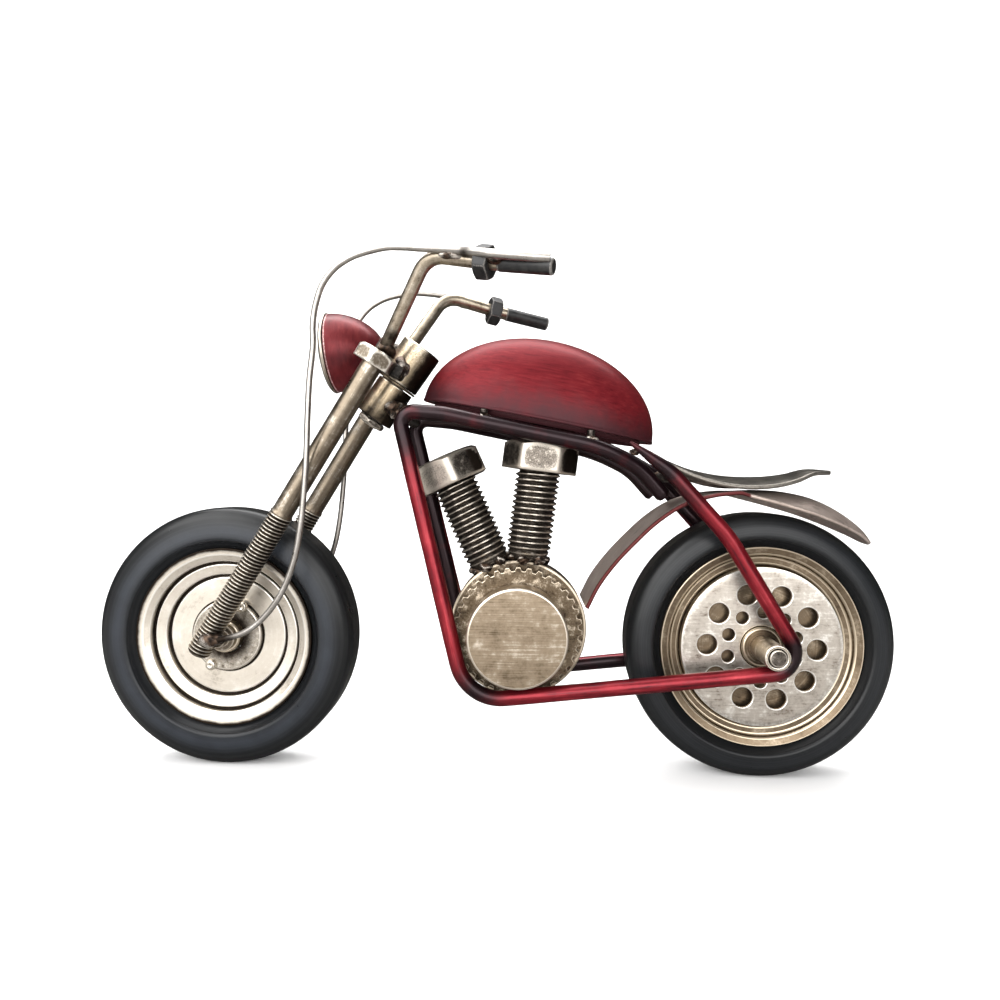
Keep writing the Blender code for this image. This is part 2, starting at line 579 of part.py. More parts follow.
leg_head_room_profile = [(LEG_FLAT + GAP, head_low - 3, True), (LEG_FLAT + GAP, head_high + 3, True)]
for side in SIDES:
    bottom = (LEG_BOTTOM[0], side * LEG_Y, LEG_BOTTOM[2])
    leg = turned(side_name("fork_leg", side), leg_profile, bottom, leg_axis, 24)
    place(leg, "bronze", fork_pivot)
    # A short arm beside each bolt head joins the leg to the boss.
    arm_centre = np.array(bottom) + leg_axis * leg_length + leg_behind * ARM_BEHIND
    arm_rings = []
    for y in (side * ARM_IN, side * ARM_OUT):
        ring = []
        for up, back in ((-1, -1), (-1, 1), (1, 1), (1, -1)):
            corner = arm_centre + leg_axis * up * ARM_HEIGHT / 2 + leg_behind * back * ARM_DEPTH / 2
            ring.append((corner[0], y, corner[2]))
        arm_rings.append(ring)
    arm = place(skin(side_name("crown_arm", side), arm_rings, smooth=False), "dark_steel", fork_pivot)
    cut(arm, turned(side_name("boss_room", side), boss_room_profile, HEAD_POINT, HEAD_AXIS, 24))
    cut(arm, turned(side_name("leg_head_room", side), leg_head_room_profile, bottom, leg_axis, 12))

# Front axle between the legs, with a shoulder on each side of the wheel.
FRONT_AXLE_END = LEG_Y - LEG_THREAD_RADIUS - GAP - 0.1
SHOULDER_IN, SHOULDER_OUT, SHOULDER_RADIUS = 7.9, 9.4, 4.6
half_axle = [(FRONT_AXLE_RADIUS, SHOULDER_IN), (SHOULDER_RADIUS, SHOULDER_IN), (SHOULDER_RADIUS, SHOULDER_OUT),
             (FRONT_AXLE_RADIUS, SHOULDER_OUT), (FRONT_AXLE_RADIUS, FRONT_AXLE_END), (0, FRONT_AXLE_END)]
axle_profile = [(r, -y) for r, y in reversed(half_axle)] + half_axle
place(turned("front_axle", axle_profile, FRONT_AXLE, ACROSS, 16), "dark_steel", fork_pivot)

# ---------------------------------------------------------------- headlamp: bullet shell, bezel and lens
LAMP_BLUNT = 0.96                     # share of the depth at which the back is cut square
LAMP_WALL = 1.1
lamp_axis = np.array((cos(LAMP_TILT), 0.0, sin(LAMP_TILT)))


def bullet(inset):
    """The lamp shell's outline from its rim to its blunt back, drawn in by the inset."""
    outline = []
    for along in np.linspace(0, LAMP_BLUNT, 6) * LAMP_DEPTH:
        outline.append(((LAMP_RADIUS - inset) * (1 - (along / LAMP_DEPTH) ** 1.8) ** (1 / 1.8),
                        along * (1 - inset / LAMP_DEPTH)))
    return outline


shell_outer = bullet(0.0)
shell_inner = bullet(LAMP_WALL)
shell_profile = [(0, shell_inner[-1][1])] + shell_inner[::-1] + shell_outer + [(0, shell_outer[-1][1])]
place(turned("headlight_shell", shell_profile, LAMP_FRONT, lamp_axis, WHEEL_SEGMENTS), "red_lacquer", fork_pivot)
BEZEL_BORE, BEZEL_RADIUS = 12.0, LAMP_RADIUS + 0.3
bezel_profile = [(BEZEL_BORE, -GAP), (BEZEL_RADIUS, -GAP), (BEZEL_RADIUS, -1.2), (BEZEL_RADIUS - 1.1, -2.0),
                 (BEZEL_BORE, -2.0)]
place(turned("headlight_bezel", bezel_profile, LAMP_FRONT, lamp_axis, WHEEL_SEGMENTS, closed=True), "bronze",
      fork_pivot)
LENS_RADIUS, LENS_BULGE = BEZEL_BORE - GAP, 3.4
lens_front = [(LENS_RADIUS * sin(a), -1.0 - LENS_BULGE * cos(a)) for a in np.linspace(0, pi / 2, 5)]
lens_profile = [(0, lens_front[0][1])] + lens_front[1:] + [(LENS_RADIUS, -0.4), (0, -0.4)]
place(turned("headlight_lens", lens_profile, LAMP_FRONT, lamp_axis, WHEEL_SEGMENTS), "lens_glass", fork_pivot)
STUD_RADIUS = 2.2
stud_start = np.array(LAMP_FRONT) + lamp_axis * (LAMP_DEPTH * LAMP_BLUNT + 3 * GAP)
stud_vector = from_head(10.6, BOSS_RADIUS - 2.0) - stud_start
stud_length = np.linalg.norm(stud_vector)
stud_profile = [(0, 0), (STUD_RADIUS, 0), (STUD_RADIUS, stud_length), (0, stud_length)]
stud = place(turned("headlight_stud", stud_profile, stud_start, stud_vector, 12), "dark_steel", fork_pivot)
cut(stud, turned("stud_boss_room", boss_room_profile, HEAD_POINT, HEAD_AXIS, 24))

# ---------------------------------------------------------------- handlebars, nuts, grips and brake wires
BAR_CORNERS = [(-36.0, 13.2, 147.0), (-19.6, 24.9, 175.2, 9.0), (0.0, 31.2, 170.8, 70.0), (3.4, 32.3, 170.2)]
GRIP_END = (20.7, 38.0, 167.2)
GRIP_RADIUS, SPIGOT_RADIUS = 2.6, 1.4
SPIGOT_SHARE = 0.7                    # of the grip's length
NUT_CENTRE_FROM_END, NUT_HALF_LENGTH, NUT_FLAT = 4.4, 2.4, 5.0
WIRE_POINTS = [
    (19.4, 39.6, 170.6), (9.5, 38.6, 172.8), (0.5, 37.5, 174.9), (-6.0, 34.8, 176.2), (-12.0, 31.4, 176.8),
    (-19.0, 29.0, 177.4), (-27.0, 27.2, 177.0), (-35.0, 26.2, 175.4), (-41.8, 25.4, 172.6), (-47.5, 24.9, 168.2),
    (-52.0, 24.6, 162.2), (-55.2, 24.3, 154.6), (-57.2, 24.1, 146.0), (-58.4, 24.0, 135.0), (-59.0, 24.0, 122.5),
    (-59.4, 24.0, 110.0), (-60.2, 24.0, 98.0), (-61.4, 24.0, 86.5), (-63.6, 23.8, 75.5), (-67.6, 23.5, 65.4),
    (-73.6, 23.0, 57.0), (-81.0, 22.3, 51.2), (-91.0, 20.9, 47.9),
]
for side in SIDES:
    bar_route = mirrored(bent_route(BAR_CORNERS), side)
    bar_end = np.array(bar_route[-1])
    grip_end = np.array((GRIP_END[0], side * GRIP_END[1], GRIP_END[2]))
    grip_axis = unit(grip_end - bar_end)
    grip_length = np.linalg.norm(grip_end - bar_end)
    spigot_length = grip_length * SPIGOT_SHARE
    spigot_end = bar_end + grip_axis * spigot_length
    bar = rod(side_name("handlebar", side), bar_route + [bar_end + grip_axis * 0.05, spigot_end], BAR_RADIUS)
    for point in bar.data.splines[0].points[-2:]:
        point.radius = SPIGOT_RADIUS / BAR_RADIUS
    place(bar, "bronze", fork_pivot)
    spigot_bore = SPIGOT_RADIUS + GAP
    grip_profile = [
        (0, spigot_length + GAP), (spigot_bore, spigot_length + GAP), (spigot_bore, GAP),
        (GRIP_RADIUS, GAP), (GRIP_RADIUS, grip_length - 0.5), (GRIP_RADIUS - 0.5, grip_length), (0, grip_length),
    ]
    place(turned(side_name("grip", side), grip_profile, bar_end, grip_axis, 16), "black_paint", fork_pivot)
    nut_axis = unit(bar_end - np.array(bar_route[-2]))
    nut_centre = bar_end - nut_axis * NUT_CENTRE_FROM_END
    nut_bore = BAR_RADIUS + GAP
    nut_profile = [(nut_bore, -NUT_HALF_LENGTH), (NUT_FLAT, -NUT_HALF_LENGTH, True),
                   (NUT_FLAT, NUT_HALF_LENGTH, True), (nut_bore, NUT_HALF_LENGTH)]
    nut = turned(side_name("grip_nut", side), nut_profile, nut_centre, nut_axis, 12, closed=True, phase=radians(30))
    place(nut, "black_paint", fork_pivot)
    wire_route = mirrored(smooth_route(WIRE_POINTS, 1), side)
    place(rod(side_name("brake_wire", side), wire_route, WIRE_RADIUS), "bright_wire", fork_pivot)
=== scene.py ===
"""The looks of a desk-ornament chopper welded from steel rod, sheet and hex bolts.

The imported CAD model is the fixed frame. Each section below makes one piece, or a group of like pieces,
in the order in which the bike goes together. Lengths are in millimetres until a mesh is made.
"""

import json
from math import cos, pi, radians, sin, tan

import bmesh
import bpy
import numpy as np
from mathutils import Matrix, Vector


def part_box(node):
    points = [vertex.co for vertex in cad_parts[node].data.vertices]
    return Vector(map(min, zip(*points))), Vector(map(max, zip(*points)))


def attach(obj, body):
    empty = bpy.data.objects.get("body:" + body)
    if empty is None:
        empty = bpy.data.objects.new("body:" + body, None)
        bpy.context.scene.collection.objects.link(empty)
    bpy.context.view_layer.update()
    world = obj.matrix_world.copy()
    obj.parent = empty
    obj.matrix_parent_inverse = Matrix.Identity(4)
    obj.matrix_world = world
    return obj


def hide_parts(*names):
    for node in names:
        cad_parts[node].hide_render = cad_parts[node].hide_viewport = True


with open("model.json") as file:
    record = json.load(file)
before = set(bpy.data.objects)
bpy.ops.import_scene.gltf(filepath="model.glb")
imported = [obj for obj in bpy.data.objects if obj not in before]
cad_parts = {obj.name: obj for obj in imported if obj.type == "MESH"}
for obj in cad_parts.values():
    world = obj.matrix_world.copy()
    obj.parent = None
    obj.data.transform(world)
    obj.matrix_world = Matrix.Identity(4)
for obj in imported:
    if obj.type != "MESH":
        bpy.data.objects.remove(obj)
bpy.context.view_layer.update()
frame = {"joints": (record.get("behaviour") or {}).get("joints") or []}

# ---------------------------------------------------------------- camera, floor and light
# The bike is seen from its left side, almost level and from close by. It stands on a pale sheet that
# sweeps up behind it. Soft area lights hang at the front left, in front, overhead and over the sweep.
VIEW_YAW, VIEW_PITCH, VIEW_ROLL = radians(2.28), radians(1.47), radians(0.48)
VIEW_POINT = np.array((0.00345, 0.0, 0.0958))
VIEW_DISTANCE = 0.2484
SENSOR, LENS = 36.0, 24.84

scene = bpy.context.scene
scene.view_settings.view_transform = "Standard"


def unit(vector):
    """The vector divided by its length, along the last axis."""
    vector = np.asarray(vector, float)
    return vector / np.linalg.norm(vector, axis=-1, keepdims=True)


forward = np.array((-sin(VIEW_YAW) * cos(VIEW_PITCH), cos(VIEW_YAW) * cos(VIEW_PITCH), -sin(VIEW_PITCH)))
level_right = unit(np.cross(forward, (0, 0, 1)))
level_up = np.cross(level_right, forward)
view_right = level_right * cos(VIEW_ROLL) + level_up * sin(VIEW_ROLL)
view_up = level_up * cos(VIEW_ROLL) - level_right * sin(VIEW_ROLL)
camera_data = bpy.data.cameras.new("view")
camera_data.sensor_width = SENSOR
camera_data.lens = LENS
camera_data.clip_start = 0.01
camera = bpy.data.objects.new("view", camera_data)
scene.collection.objects.link(camera)
place = Matrix(np.column_stack((view_right, view_up, -forward)).tolist()).to_4x4()
place.translation = Vector(VIEW_POINT - forward * VIEW_DISTANCE)
camera.matrix_world = place
scene.camera = camera


def add(tree, kind, inputs=None, **settings):
    """A node of that kind, with its settings, and its inputs set to values or linked to sockets."""
    made = tree.nodes.new(kind)
    for name, value in settings.items():
        setattr(made, name, value)
    for name, value in (inputs or {}).items():
        if isinstance(value, bpy.types.NodeSocket):
            tree.links.new(value, made.inputs[name])
        else:
            made.inputs[name].default_value = value
    return made


def new_material(name):
    """A material with only a Principled shader and its output: (material, tree, shader)."""
    material = bpy.data.materials.new(name)
    material.use_nodes = True
    return material, material.node_tree, material.node_tree.nodes["Principled BSDF"]


FLOOR_HALF, FLOOR_BACK, SWEEP_RADIUS, WALL_HEIGHT = 2.2, 0.75, 0.5, 2.2
sweep_turn = np.linspace(0, pi / 2, 17)
sweep_y = np.concatenate(([-2.0], FLOOR_BACK + SWEEP_RADIUS * np.sin(sweep_turn), [FLOOR_BACK + SWEEP_RADIUS]))
sweep_z = np.concatenate(([0.0], SWEEP_RADIUS * (1 - np.cos(sweep_turn)), [WALL_HEIGHT]))
left_edge = np.column_stack((np.full(len(sweep_y), -FLOOR_HALF), sweep_y, sweep_z))
right_edge = left_edge * (-1, 1, 1)
row = np.arange(len(sweep_y) - 1)
floor_mesh = bpy.data.meshes.new("floor")
floor_faces = np.column_stack((row, row + len(sweep_y), row + len(sweep_y) + 1, row + 1))
floor_mesh.from_pydata(np.vstack((left_edge, right_edge)).tolist(), [], floor_faces.tolist())
floor_mesh.shade_smooth()
floor = bpy.data.objects.new("floor", floor_mesh)
scene.collection.objects.link(floor)

floor_paint, tree, shader = new_material("pale floor")
rays = add(tree, "ShaderNodeLightPath")
floor_tone = add(tree, "ShaderNodeMix", {"Factor": rays.outputs["Is Glossy Ray"]}, data_type="RGBA")
floor_tone.inputs[6].default_value = (0.90, 0.90, 0.90, 1)
# Only in reflections is the floor painted dark, lighter in front of the bike than behind it: a painted
# reflection for the polished pieces.
floor_place = add(tree, "ShaderNodeSeparateXYZ", {0: add(tree, "ShaderNodeTexCoord").outputs["Object"]})
floor_depth = add(tree, "ShaderNodeMapRange",
                  {"Value": floor_place.outputs["Y"], "From Min": -0.12, "From Max": 0.10})
painted_floor_reflection = add(tree, "ShaderNodeMix", {"Factor": floor_depth.outputs["Result"]}, data_type="RGBA")
painted_floor_reflection.inputs[6].default_value = (0.32, 0.31, 0.30, 1)
painted_floor_reflection.inputs[7].default_value = (0.035, 0.033, 0.031, 1)
tree.links.new(painted_floor_reflection.outputs[2], floor_tone.inputs[7])
tree.links.new(floor_tone.outputs[2], shader.inputs["Base Color"])
shader.inputs["Roughness"].default_value = 0.9
shader.inputs["Specular IOR Level"].default_value = 0.0
floor_mesh.materials.append(floor_paint)

LIGHTS = {
    # name: (place, aim, width, height, watts)
    "key_light": ((-0.50, -0.46, 0.66), (0.0, 0.0, 0.08), 0.65, 0.50, 4.5),
    "front_light": ((-0.06, -0.90, 0.28), (0.0, 0.0, 0.09), 1.7, 0.60, 10.0),
    "top_light": ((-0.10, 0.10, 1.0), (0.0, 0.05, 0.0), 1.1, 0.8, 9.0),
    "backdrop_light": ((0.0, 0.45, 1.5), (0.0, 1.1, 0.35), 2.2, 0.6, 30.0),
}
for name, (at, aim, width, height, watts) in LIGHTS.items():
    lamp_data = bpy.data.lights.new(name, "AREA")
    lamp_data.shape = "RECTANGLE"
    lamp_data.size = width
    lamp_data.size_y = height
    lamp_data.energy = watts
    lamp = bpy.data.objects.new(name, lamp_data)
    scene.collection.objects.link(lamp)
    lamp.matrix_world = Matrix.LocRotScale(Vector(at), (Vector(at) - Vector(aim)).to_track_quat("Z", "Y"), None)

# The room is bright towards the upper left front and dark towards the lower right back.
ROOM_LIGHT_FROM = unit((-0.36, -0.82, 0.44))
world = bpy.data.worlds.new("room")
scene.world = world
world.use_nodes = True
tree = world.node_tree
tree.nodes.clear()
direction = add(tree, "ShaderNodeTexCoord")
facing = add(tree, "ShaderNodeVectorMath", {0: direction.outputs["Generated"], 1: ROOM_LIGHT_FROM},
             operation="DOT_PRODUCT")
share = add(tree, "ShaderNodeMapRange", {"Value": facing.outputs["Value"], "From Min": -1.0, "From Max": 1.0})
room_ramp = add(tree, "ShaderNodeValToRGB", {"Fac": share.outputs["Result"]})
room_ramp.color_ramp.interpolation = "EASE"
room_stops = ((0.0, 0.006), (0.58, 0.018), (0.78, 0.14), (0.90, 0.85), (1.0, 1.35))
for position, value in room_stops[1:-1]:
    room_ramp.color_ramp.elements.new(position)
for element, (position, value) in zip(room_ramp.color_ramp.elements, room_stops):
    element.position = position
    element.color = (value, value * 0.985, value * 0.965, 1)
rays = add(tree, "ShaderNodeLightPath")
room_tone = add(tree, "ShaderNodeMix", {"Factor": rays.outputs["Is Camera Ray"]}, data_type="RGBA")
tree.links.new(room_ramp.outputs["Color"], room_tone.inputs[6])
room_tone.inputs[7].default_value = (1, 1, 1, 1)
background = add(tree, "ShaderNodeBackground", {"Color": room_tone.outputs[2], "Strength": 1.0})
add(tree, "ShaderNodeOutputWorld", {"Surface": background.outputs["Background"]})


# ---------------------------------------------------------------- frame: two bent rod loops
# Each loop is one steel rod, 5.3 mm thick, bent cold and lacquered red. It starts as a tail under the
# saddle, runs along the tank to the head, down, back along the bottom, round the rear axle and up to its
# pointed end, which is welded to the outside of the tail.
MM = 0.001
SIDES = (-1, 1)


def side_name(base, side):
    """side is -1 for the bike's left and +1 for its right."""
    return base + ("_left" if side < 0 else "_right")


def middle(node):
    """The middle of a CAD node's box, in millimetres."""
    low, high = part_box(node)
    return (np.array(low) + np.array(high)) / 2 / MM


def extent(node):
    """The size of a CAD node's box, in millimetres."""
    low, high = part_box(node)
    return (np.array(high) - np.array(low)) / MM


def keep_values(mesh, lay, wear_and_sheen, burn_and_shade):
    """Writes the three values per point that the finishes read; lay is in millimetres."""
    for label, kind, width, data in (("lay", "FLOAT_VECTOR", "vector", lay * MM),
                                     ("wear_and_sheen", "FLOAT", "value", wear_and_sheen), ("burn_and_shade", "FLOAT", "value", burn_and_shade)):
        mesh.attributes.new(label, kind, "POINT").data.foreach_set(width, data.astype(np.float32).ravel())


def closed_mesh(name, points, wear_and_sheen=0.0, burn_and_shade=0.0, lay=None, ring=False):
    """A closed skin over a grid of points: rows x columns x 3, in millimetres; the columns run right round.

    Each cell of the grid is one quad. With ring the last row joins the first; otherwise a fan of triangles
    about their middle closes each end row. The skin is turned outwards if its volume comes out negative.
    wear_and_sheen, burn_and_shade and lay are kept per point: how rubbed it is plus any painted highlight and
    sheen, how burnt it is plus any painted shade, and where it lies on the straight stock.
    """
    rows, columns = points.shape[:2]
    row = np.arange(rows if ring else rows - 1)[:, None]
    column = np.arange(columns)[None, :]
    beside = (column + 1) % columns
    after = (row + 1) % rows
    quads = np.stack((row * columns + column, row * columns + beside, after * columns + beside,
                      after * columns + column), -1).reshape(-1, 4)
    stock = np.broadcast_to(np.asarray(points if lay is None else lay), points.shape)
    values = np.concatenate((points, stock, np.broadcast_to(wear_and_sheen, points.shape[:2])[..., None],
                             np.broadcast_to(burn_and_shade, points.shape[:2])[..., None]), -1)
    flat = values.reshape(-1, 8)
    faces = quads.tolist()
    if not ring:
        flat = np.vstack((flat, values[0].mean(0), values[-1].mean(0)))
        around, next_around = np.arange(columns), (np.arange(columns) + 1) % columns
        last = (rows - 1) * columns
        first_hub, last_hub = np.full(columns, rows * columns), np.full(columns, rows * columns + 1)
        faces += np.column_stack((first_hub, next_around, around)).tolist()
        faces += np.column_stack((last_hub, last + around, last + next_around)).tolist()
    mesh = bpy.data.meshes.new(name)
    mesh.from_pydata((flat[:, :3] * MM).tolist(), [], faces)
    a, b, c, d = flat[:, :3][quads].transpose(1, 0, 2)
    volume = np.sum((np.cross(b - a, c - a) + np.cross(c - a, d - a)) * a)
    if volume < 0:
        mesh.flip_normals()
    keep_values(mesh, flat[:, 3:6], flat[:, 6], flat[:, 7])
    mesh.shade_smooth()
    mesh.set_sharp_from_angle(angle=radians(40))
    return mesh


def fit(mesh, body, material, replaced=(), name=None):
    """Puts a finished mesh on its CAD body, in its finish, in place of those CAD nodes."""
    piece = bpy.data.objects.new(name or mesh.name, mesh)
    scene.collection.objects.link(piece)
    mesh.materials.append(material)
    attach(piece, body)
    if replaced:
        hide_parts(*([replaced] if isinstance(replaced, str) else replaced))
    return piece


def bent_route(corners, step=1.0):
    """Points along a rod bent at its corners: straight runs joined by arcs of each corner's bend radius.

    Each corner is (x, y, z, radius); the two ends need none.
    """
    points = [np.array(corners[0][:3], float)[None]]
    for before, corner, after in zip(corners, corners[1:], corners[2:]):
        vertex, radius = np.array(corner[:3], float), corner[3]
        back, ahead = unit(np.array(before[:3]) - vertex), unit(np.array(after[:3]) - vertex)
        half = 0.5 * np.arccos(np.clip(back @ ahead, -1, 1))
        reach = radius / tan(half)
        centre = vertex + unit(back + ahead) * radius / sin(half)
        start, end = vertex + back * reach - centre, vertex + ahead * reach - centre
        sweep = pi - 2 * half
        t = np.linspace(0, 1, max(3, int(radius * sweep / step) + 2))[:, None]
        points.append(centre + (np.sin((1 - t) * sweep) * start + np.sin(t * sweep) * end) / sin(sweep))
    points.append(np.array(corners[-1][:3], float)[None])
    return spaced(np.vstack(points), step)


def spaced(route, step):
    """The same route with its points a step apart: each coordinate is read off against the length so far."""
    length = np.concatenate(([0], np.cumsum(np.linalg.norm(np.diff(route, axis=0), axis=1))))
    at = np.linspace(0, length[-1], int(length[-1] / step) + 2)
    return np.column_stack([np.interp(at, length, column) for column in route.T])


def swept(route, radius, sides=28):
    """A round rod along a route: rows of circles square to it, kept upright against the bike's width.

    radius(s, angle) or a number gives the radius at each length along the rod and each angle round it.
    Returns the points and the same points on the rod laid straight.
    """
    tangent = unit(np.gradient(route, axis=0))
    across = np.array((0.0, 1.0, 0.0)) - tangent * tangent[:, 1:2]
    across = unit(across)
    other = np.cross(tangent, across)
    s = np.concatenate(([0], np.cumsum(np.linalg.norm(np.diff(route, axis=0), axis=1))))[:, None]
    angle = np.linspace(0, 2 * pi, sides, endpoint=False)[None, :]
    reach = radius(s, angle) if callable(radius) else np.full((len(route), sides), float(radius))
    c, d = reach * np.cos(angle), reach * np.sin(angle)
    points = route[:, None] + c[..., None] * across[:, None] + d[..., None] * other[:, None]
    return points, np.stack((c, d, np.broadcast_to(s, c.shape)), -1)


def near(points, places):
    """How near each point is to the nearest of the places (x, y, z, reach): 1 there, fading as a bell curve."""
    nearest = np.zeros(points.shape[:-1])
    for x, y, z, reach in places:
        gap = np.linalg.norm(points - (x, y, z), axis=-1)
        nearest = np.maximum(nearest, np.exp(-(gap / reach) ** 2))
    return nearest


def new_group(name, inputs, outputs):
    """An empty shader node group with those named sockets: (group, its input node, its output node)."""
    group = bpy.data.node_groups.new(name, "ShaderNodeTree")
    for label, kind in inputs.items():
        group.interface.new_socket(label, in_out="INPUT", socket_type="NodeSocket" + kind)
    for label, kind in outputs.items():
        group.interface.new_socket(label, in_out="OUTPUT", socket_type="NodeSocket" + kind)
    return group, group.nodes.new("NodeGroupInput"), group.nodes.new("NodeGroupOutput")


def maths(tree, operation, first, second=0.0, third=0.0, clamp=False):
    """The output of a Math node."""
    made = add(tree, "ShaderNodeMath", {0: first, 1: second, 2: third}, operation=operation, use_clamp=clamp)
    return made.outputs[0]


def blended(tree, share, first, second, way="MIX"):
    """The output of a colour Mix node: first where share is 0, second where it is 1."""
    made = add(tree, "ShaderNodeMix", {"Factor": share, 6: first, 7: second}, data_type="RGBA", blend_type=way)
    return made.outputs[2]


def noise(tree, vector, scale, detail=3.0, roughness=0.6):
    """The value of a Noise texture, about 0.5 on average."""
    made = add(tree, "ShaderNodeTexNoise",
               {"Vector": vector, "Scale": scale, "Detail": detail, "Roughness": roughness})
    return made.outputs["Fac"]


def stretched(tree, vector, scale):
    """The vector with each coordinate multiplied by its own scale."""
    return add(tree, "ShaderNodeVectorMath", {0: vector, 1: scale}, operation="MULTIPLY").outputs[0]


def steep(tree, value, low, high):
    """0 below low, 1 above high and a smooth step between."""
    made = add(tree, "ShaderNodeMapRange", {"Value": value, "From Min": low, "From Max": high},
               interpolation_type="SMOOTHSTEP")
    return made.outputs["Result"]


def kept(tree, label):
    """A value that the mesh keeps per point: (vector output, value output)."""
    made = add(tree, "ShaderNodeAttribute", attribute_name=label)
    return made.outputs["Vector"], made.outputs["Fac"]


def finish_shader(tree, shader, output, distance, strength):
    """Links a group's Color, Roughness and Height to the shader, the height through a Bump node."""
    tree.links.new(output["Color"], shader.inputs["Base Color"])
    tree.links.new(output["Roughness"], shader.inputs["Roughness"])
    bump = add(tree, "ShaderNodeBump", {"Height": output["Height"], "Distance": distance, "Strength": strength})
    tree.links.new(bump.outputs["Normal"], shader.inputs["Normal"])


def lacquer_group():
    """Candy lacquer rubbed on by hand: brush streaks over soft clouds, thin on rubbed edges, scorched by welds,
    darkened by painted shade.
    """
    group, given, out = new_group(
        "candy_lacquer",
        {"Place": "Vector", "Streaks": "Vector", "Wear_and_sheen": "Float", "Burn_and_shade": "Float", "Deep": "Color",
         "Body": "Color", "Light": "Color", "Burnt_and_shade": "Color", "Bare": "Color", "Smooth": "Float"},
        {"Color": "Color", "Roughness": "Float", "Height": "Float"})
    taken = given.outputs
    streak = noise(group, stretched(group, taken["Place"], taken["Streaks"]), 1.0, 4.0, 0.65)
    cloud = noise(group, taken["Place"], 130.0, 4.0)
    speck = noise(group, taken["Place"], 1300.0, 2.0)
    tone = maths(group, "ADD", maths(group, "MULTIPLY", streak, 0.62), maths(group, "MULTIPLY", cloud, 0.38))
    colour = blended(group, steep(group, tone, 0.30, 0.54), taken["Deep"], taken["Body"])
    colour = blended(group, steep(group, tone, 0.50, 0.78), colour, taken["Light"])
    patch = maths(group, "MULTIPLY_ADD", maths(group, "SUBTRACT", speck, 0.5), 0.7, taken["Wear_and_sheen"])
    colour = blended(group, steep(group, patch, 0.55, 0.95), colour, taken["Bare"])
    # The burnt colour stands for weld burns and for painted shade alike.
    scorch_and_shade = maths(group, "MULTIPLY_ADD", maths(group, "SUBTRACT", cloud, 0.5), 0.8, taken["Burn_and_shade"])
    colour = blended(group, steep(group, scorch_and_shade, 0.15, 0.85), colour, taken["Burnt_and_shade"])
    group.links.new(colour, out.inputs["Color"])
    group.links.new(maths(group, "MULTIPLY_ADD", streak, 0.22, taken["Smooth"]), out.inputs["Roughness"])
    group.links.new(maths(group, "MULTIPLY_ADD", cloud, 0.5, maths(group, "MULTIPLY", streak, 0.5)),
                    out.inputs["Height"])
    return group


LACQUER = lacquer_group()


def red_lacquer(name, streaks, deep, body, light, burnt_and_shade=(0.012, 0.006, 0.006, 1), smooth=0.22, metallic=0.72,
                glaze=0.18, shine=0.5):
    """A red candy finish with streaks that many times per metre along each axis of the straight stock."""
    material, tree, shader = new_material(name)
    coat = add(tree, "ShaderNodeGroup", node_tree=LACQUER)
    for label in ("wear_and_sheen", "burn_and_shade"):
        tree.links.new(kept(tree, label)[1], coat.inputs[label.capitalize()])
    tree.links.new(kept(tree, "lay")[0], coat.inputs["Place"])
    for label, value in (("Streaks", streaks), ("Deep", deep), ("Body", body), ("Light", light),
                         ("Burnt_and_shade", burnt_and_shade), ("Bare", (0.62, 0.42, 0.40, 1)), ("Smooth", smooth)):
        coat.inputs[label].default_value = value
    finish_shader(tree, shader, coat.outputs, 0.00012, 0.35)
    shader.inputs["Metallic"].default_value = metallic
    shader.inputs["Coat Weight"].default_value = glaze
    shader.inputs["Specular IOR Level"].default_value = shine
    shader.inputs["Coat Roughness"].default_value = 0.14
    return material


# The rods' burnt colour also serves as their painted shade.
rod_red = red_lacquer("rod red lacquer", (900, 900, 60), (0.045, 0.004, 0.008, 1), (0.22, 0.010, 0.018, 1),
                      (0.48, 0.050, 0.062, 1), burnt_and_shade=(0.014, 0.005, 0.007, 1))

FRAME_ROD = 2.65
RAIL_Y = 17.3
FRAME_CORNERS = [
    (60.0, 10.9, 97.6), (51.5, 12.1, 107.2, 22.0), (38.0, 16.0, 114.2, 40.0), (-15.5, 16.8, 125.0, 30.0),
    (-31.0, 15.4, 126.2, 4.5), (-6.8, RAIL_Y, 27.9, 15.0), (107.0, RAIL_Y, 40.6, 7.5),
    (80.0, RAIL_Y, 84.6, 60.0), (60.5, RAIL_Y, 106.2, 30.0), (47.0, 18.2, 115.8),
]
# Welds burn the lacquer: (x, y, z, reach) on the right side.
FRAME_BURNS = [(-31, 15.4, 126, 9), (101, 17.3, 45, 9), (107, 17.3, 41, 7), (-1.6, 16.5, 123, 4),
               (34, 16.5, 116, 5), (60, 10.9, 97.6, 15), (52, 12.5, 106, 9)]
# Painted shade darkens the top rails under the tank, the lower front bend and the inner side of the rods.
FRAME_PAINTED_SHADE = [(-31, 15.4, 122, 20), (-20, 16.6, 125, 16), (-10, 16.9, 124.5, 16), (1, 16.7, 122.5, 16),
                (12, 16.5, 120, 17), (22, 16.3, 118, 16), (32, 16, 116, 17), (42, 15, 112.5, 14),
                (50, 13.5, 108, 14), (-4, 17.3, 32, 12), (58, 17.3, 108, 10)]
POINT_LENGTH = 20.0


def rod_radius(s, angle, total):
    """The rod's radius at length s of its total: slightly uneven, drawn down to a chisel point at its end."""
    uneven = 1 + 0.008 * np.sin(s / 7.0 + 2 * angle) + 0.006 * np.sin(s / 3.1 - angle)
    point = np.clip((s - total + POINT_LENGTH) / POINT_LENGTH, 0, 1)
    start = np.clip(1 - s / 1.2, 0, 1)
    return FRAME_ROD * uneven * (1 - 0.80 * point ** 1.6) * np.sqrt(1 - 0.45 * start ** 2)


